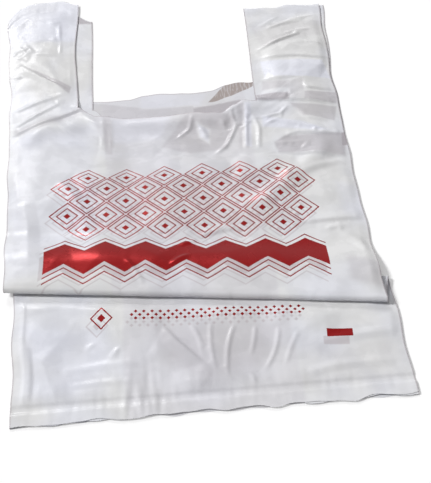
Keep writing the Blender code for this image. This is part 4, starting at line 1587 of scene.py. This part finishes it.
@dataclass(frozen=True)
class FilmFinish:
    """Thin white film, softly glossy and a little see-through, with or without the print."""

    name: str
    printed: bool
    cool: Colour = (0.79, 0.80, 0.85, 1.0)
    warm: Colour = (0.80, 0.80, 0.80, 1.0)
    single: Colour = (0.70, 0.69, 0.73, 1.0)
    single_share: float = 0.55
    # Painted shade line along the side folds, the mouth and the handles' inner edges. It stands for
    # the shade between the layers and partly for the denser look of film seen edge-on.
    edge: Colour = (0.42, 0.37, 0.39, 1.0)
    edge_shade_share: float = 0.6
    # Colours of the painted shade and the painted highlight of the patches.
    painted_shade_colour: Colour = (0.47, 0.44, 0.47, 1.0)
    painted_highlight_colour: Colour = (0.82, 0.84, 0.96, 1.0)
    # Painted shade of a lens-shaped gap at the mouth, used on the back film only.
    lens: bool = False
    gap_shade_colour: Colour = (0.37, 0.31, 0.29, 1.0)
    gape_place: Point = (55.0, 386.0)
    gape_turn: float = 24.0
    gape_half: Point = (27.0, 8.0)
    gape_soft: float = 0.08
    streak_scale: Vector3 = (0.9, 0.12, 1.0)
    streak_pitch: float = 0.7
    streak_range: tuple[float, float, float, float] = (0.5, 0.62, 0.95, 0.6)
    ink: Colour = (0.245, 0.0, 0.001, 1.0)
    ink_gloss: float = 0.5
    ink_soft: float = 0.16
    # Painted shadow of the ink on the film under it: a soft copy of the print, shifted, in a grey
    # mauve.
    ink_shadow: Colour = (0.50, 0.43, 0.45, 1.0)
    ink_shadow_share: float = 0.5
    ink_shadow_shift: Vector3 = (3.5, 6.5, 0.0)
    ink_shadow_soft: float = 0.7
    opacity: tuple[float, float, float, float] = (0.3, 0.7, 0.84, 0.95)
    crinkle: float = 0.05
    roughness: float = 0.20
    dullness: float = 0.14
    ior: float = 1.5
    specular: float = 0.32

    def gap_shade(self, desk: NodeDesk, flat: object) -> Socket:
        """Lens-shaped painted shade at the mouth, where the shadowed inside of the bag shows
        through a gap, with fine streaks.

        The lens is where the square of the share along it and the share across it add up to
        less than 1.

        Args:
            desk: Where the nodes go.
            flat: Position on the flat bag in millimetres.

        Returns:
            The mask.
        """
        place = desk.mapped(flat, "TEXTURE", Location=(*self.gape_place, 0.0),
                            Rotation=(0.0, 0.0, math.radians(self.gape_turn)),
                            Scale=(*self.gape_half, 1.0))
        x, y = desk.split(place)
        wide = desk.math("POWER", desk.math("ABSOLUTE", x), 2.0)
        away = desk.math("ADD", wide, desk.math("ABSOLUTE", y))
        noise = desk.noise(desk.mapped(flat, Scale=self.streak_scale), self.streak_pitch)
        streaks = desk.ramp(noise, *self.streak_range)
        return desk.math("MULTIPLY", desk.band(away, 1.0, self.gape_soft), streaks)

    def material(self, effects: FilmEffects) -> bpy.types.Material:
        """Colour, gloss, opacity and fine wrinkles over the flat bag's own chart.

        Args:
            effects: Shared node groups.

        Returns:
            The material.
        """
        material = bpy.data.materials.new(self.name)
        material.use_nodes = True
        tree = material.node_tree
        shader = tree.nodes["Principled BSDF"]
        desk = NodeDesk(tree)
        chart = desk.add("ShaderNodeUVMap", uv_map="flat_bag").outputs[0]
        span = CHART_SPAN / MM
        flat = desk.mapped(chart, Scale=(span, span, 1.0),
                           Location=(-0.5 * span, -CHART_FOOT * span, 0.0))

        haze = desk.add("ShaderNodeGroup", node_tree=effects.haze_group)
        desk.feed(haze.inputs["Vector"], flat)
        colour = desk.mix(haze.outputs["Tint"], self.warm, self.cool)
        thin = desk.math("MULTIPLY", haze.outputs["Single"], self.single_share)
        colour = desk.mix(thin, colour, self.single)
        opacity = desk.ramp(haze.outputs["Opacity"], *self.opacity)
        # The patches' attribute paints shade where it is over 0 and a highlight where it is under
        # 0.
        tone = desk.add("ShaderNodeAttribute", attribute_name="painted_shade_tone").outputs["Fac"]
        colour = desk.mix(desk.math("MAXIMUM", tone, 0.0), colour, self.painted_shade_colour)
        colour = desk.mix(desk.math("MAXIMUM", desk.math("MULTIPLY", tone, -1.0), 0.0), colour,
                          self.painted_highlight_colour)
        # Painted shade line along the folds and cut edges.
        edge = desk.math("MULTIPLY", haze.outputs["EdgeShade"], self.edge_shade_share)
        colour = desk.mix(edge, colour, self.edge)
        # Painted shade of the gap at the mouth.
        if self.lens:
            colour = desk.mix(self.gap_shade(desk, flat), colour, self.gap_shade_colour)
        if self.printed:
            # Painted shadow of the ink: the print again, moved and softened, mixed in before the
            # ink itself.
            ink_shadow_print = desk.add("ShaderNodeGroup", node_tree=effects.print_group)
            moved = desk.add("ShaderNodeVectorMath", operation="ADD")
            desk.feed(moved.inputs[0], flat)
            moved.inputs[1].default_value = self.ink_shadow_shift
            desk.feed(ink_shadow_print.inputs["Vector"], moved.outputs[0])
            ink_shadow_print.inputs["Softness"].default_value = self.ink_shadow_soft
            share = desk.math("MULTIPLY", ink_shadow_print.outputs["Ink"], self.ink_shadow_share)
            colour = desk.mix(share, colour, self.ink_shadow)
            ink = desk.add("ShaderNodeGroup", node_tree=effects.print_group)
            desk.feed(ink.inputs["Vector"], flat)
            ink.inputs["Softness"].default_value = self.ink_soft
            colour = desk.mix(ink.outputs["Ink"], colour, self.ink)
            opacity = desk.math("MAXIMUM", opacity, ink.outputs["Ink"])
            desk.feed(shader.inputs["Metallic"], desk.math(
                "MULTIPLY", ink.outputs["Ink"], self.ink_gloss))
        desk.feed(shader.inputs["Base Color"], colour)
        desk.feed(shader.inputs["Alpha"], opacity)
        desk.feed(shader.inputs["Roughness"], desk.math(
            "MULTIPLY_ADD", haze.outputs["Dull"], self.dullness, self.roughness))
        shader.inputs["IOR"].default_value = self.ior
        shader.inputs["Specular IOR Level"].default_value = self.specular

        crinkle = desk.add("ShaderNodeGroup", node_tree=effects.crinkle_group)
        desk.feed(crinkle.inputs["Vector"], flat)
        crinkle.inputs["Depth"].default_value = self.crinkle
        bump = desk.add("ShaderNodeBump")
        bump.inputs["Distance"].default_value = MM
        desk.feed(bump.inputs["Height"], crinkle.outputs["Height"])
        desk.feed(shader.inputs["Normal"], bump.outputs["Normal"])
        return material


@dataclass
class CarrierBag:
    """The whole bag: its sheets, how each was cut, and its finishes."""

    shape: BagShape = field(default_factory=BagShape)
    upper_pitch: float = 0.00104
    lower_pitch: float = 0.00105
    back_pitch: float = 0.0018
    gusset_pitch: float = 0.0022

    def sheets(self) -> list[tuple[Sheet, str]]:
        """The sheets of the bag, each with the way it is held.

        Returns:
            Sheet and hold, front panel first.
        """
        shape, cut = self.shape, self.shape.cut
        _, back_end, front_start, _, _ = shape.lap.runs(shape.layers)
        meet = 0.5 * (back_end + front_start) / math.cos(shape.lap.angle)
        web = 2.0 * cut.gusset_depth
        return [
            (Panel(shape, "front_panel_upper", self.upper_pitch, meet, cut.length, cut.width,
                   wrinkled=1.0, shade_patches=UPPER_SHADE_PATCHES), "folded"),
            (Panel(shape, "front_panel_lower", self.lower_pitch, 0.0, meet, cut.width,
                   wrinkled=1.0, shade_patches=LOWER_SHADE_PATCHES), "laid"),
            (Panel(shape, "back_panel", self.back_pitch, 0.0, cut.length, cut.width,
                   shade_patches=BACK_SHADE_PATCHES, level=0.0), "folded"),
            (Gusset(shape, "left_gusset", self.gusset_pitch, 0.0, cut.length, web,
                    shade_patches=STRIP_SHADE_PATCHES, side=-1.0), "folded"),
            (Gusset(shape, "right_gusset", self.gusset_pitch, 0.0, cut.length, web), "folded"),
        ]

    def build(self) -> list[bpy.types.Object]:
        """Builds and dresses each sheet.

        Returns:
            The sheets' objects.
        """
        cut = self.shape.cut
        effects = FilmEffects()
        printed = FilmFinish("printed_film", True).material(effects)
        plain = FilmFinish("plain_film", False).material(effects)
        # The back film carries the painted shade of the gap at the mouth.
        inner = FilmFinish("back_film", True, lens=True).material(effects)
        made = []
        for sheet, held in self.sheets():
            piece = sheet.build()
            finish = plain if isinstance(sheet, Gusset) else printed
            piece.data.materials.append(inner if sheet.name == "back_panel" else finish)
            length = sheet.high_row - sheet.low_row
            area = sheet.flat_width * length
            if sheet.high_row >= cut.length:
                narrow = 2.0 * cut.cut_half if isinstance(sheet, Panel) else 2.0 * (
                    cut.cut_half - cut.gusset_fold)
                area -= narrow * cut.mouth_depth
            LOG.info("%s: %d faces", sheet.name, len(piece.data.polygons))
            made.append(piece)
        return made


@dataclass(frozen=True)
class Lamp:
    """Soft even light from far away.

    It stands at an azimuth from +Y towards +X and at a height over the floor, and fills a spread
    of the sky, all in degrees. Its level is the light it gives to a white floor, where 1 is white.
    """

    name: str
    azimuth: float
    height: float
    level: float
    spread: float

    def build(self) -> bpy.types.Object:
        """Puts the light into the scene.

        Returns:
            The light's object.
        """
        light = bpy.data.lights.new(self.name, "SUN")
        light.angle = math.radians(self.spread)
        light.energy = self.level * math.pi / math.sin(math.radians(self.height))
        lamp = bpy.data.objects.new(self.name, light)
        lamp.rotation_euler = (math.radians(90.0 - self.height), 0.0,
                               math.radians(180.0 - self.azimuth))
        bpy.context.scene.collection.objects.link(lamp)
        return lamp


@dataclass
class Studio:
    """Plain pale floor, soft light and the camera."""

    camera_place: Vector3 = (-0.0371, -0.6399, 0.669)
    camera_turn: Vector3 = (39.98, 0.0, -5.7)
    lens: float = 80.9
    sensor: float = 36.0
    clip: Point = (0.01, 50.0)
    sky: float = 0.25
    sky_colour: Colour = (1.0, 0.99, 1.0, 1.0)
    floor_reach: float = 6.0
    floor_colour: Colour = (0.86, 0.86, 0.86, 1.0)
    floor_roughness: float = 0.9
    floor_glow: float = 0.2
    lamps: tuple[Lamp, ...] = (Lamp("key", 280.0, 44.0, 0.555, 12.0),
                               Lamp("sheen", -16.0, 36.0, 0.14, 14.0))

    @staticmethod
    def seen(desk: NodeDesk) -> Socket:
        """1 for rays that show the background as it is: camera, glossy and transmission rays."""
        path = desk.add("ShaderNodeLightPath")
        first = desk.math("MAXIMUM", path.outputs["Is Camera Ray"], path.outputs["Is Glossy Ray"])
        return desk.math("MAXIMUM", first, path.outputs["Is Transmission Ray"])

    def floor(self) -> bpy.types.Object:
        """Pale floor that looks white where it is lit and keeps the shadow.

        Returns:
            The floor's object.
        """
        mesh = bpy.data.meshes.new("floor")
        reach = self.floor_reach
        mesh.from_pydata([(-reach, -reach, 0.0), (reach, -reach, 0.0), (reach, reach, 0.0),
                          (-reach, reach, 0.0)], [], [(0, 1, 2, 3)])
        plane = bpy.data.objects.new("floor", mesh)
        bpy.context.scene.collection.objects.link(plane)
        material = bpy.data.materials.new("studio_floor")
        material.use_nodes = True
        shader = material.node_tree.nodes["Principled BSDF"]
        shader.inputs["Base Color"].default_value = self.floor_colour
        shader.inputs["Roughness"].default_value = self.floor_roughness
        shader.inputs["Specular IOR Level"].default_value = 0.0
        shader.inputs["Emission Color"].default_value = (1.0, 1.0, 1.0, 1.0)
        desk = NodeDesk(material.node_tree)
        desk.feed(shader.inputs["Emission Strength"], desk.math(
            "MULTIPLY", self.seen(desk), self.floor_glow))
        mesh.materials.append(material)
        return plane

    def world(self) -> None:
        """Even pale sky, white where it is seen."""
        world = bpy.data.worlds.new("studio")
        world.use_nodes = True
        bpy.context.scene.world = world
        back = world.node_tree.nodes["Background"]
        back.inputs["Color"].default_value = self.sky_colour
        desk = NodeDesk(world.node_tree)
        desk.feed(back.inputs["Strength"], desk.math(
            "MULTIPLY_ADD", self.seen(desk), 1.0 - self.sky, self.sky))

    def camera(self) -> bpy.types.Object:
        """Camera at the photograph's angle, with a portrait frame.

        Returns:
            The camera's object.
        """
        data = bpy.data.cameras.new("camera")
        data.sensor_fit = "VERTICAL"
        data.sensor_width = data.sensor_height = self.sensor
        data.lens = self.lens
        data.clip_start, data.clip_end = self.clip
        camera = bpy.data.objects.new("camera", data)
        camera.location = self.camera_place
        camera.rotation_euler = tuple(math.radians(a) for a in self.camera_turn)
        bpy.context.scene.collection.objects.link(camera)
        bpy.context.scene.camera = camera
        return camera

    def build(self) -> None:
        """Sets up the floor, the sky, the lamps and the camera."""
        self.floor()
        self.world()
        for lamp in self.lamps:
            lamp.build()
        self.camera()
        bpy.context.scene.view_settings.view_transform = "Standard"


def main() -> None:
    """Builds the bag and its studio, and reports each piece."""
    logging.basicConfig(level=logging.INFO, format="%(name)s %(message)s")
    bag = CarrierBag()
    LOG.info("outline middle at %.5f %.5f", *bag.shape.centre)
    pieces = bag.build()
    Studio().build()
    LOG.info("%d pieces", len(pieces))


if __name__ == "__main__":
    main()
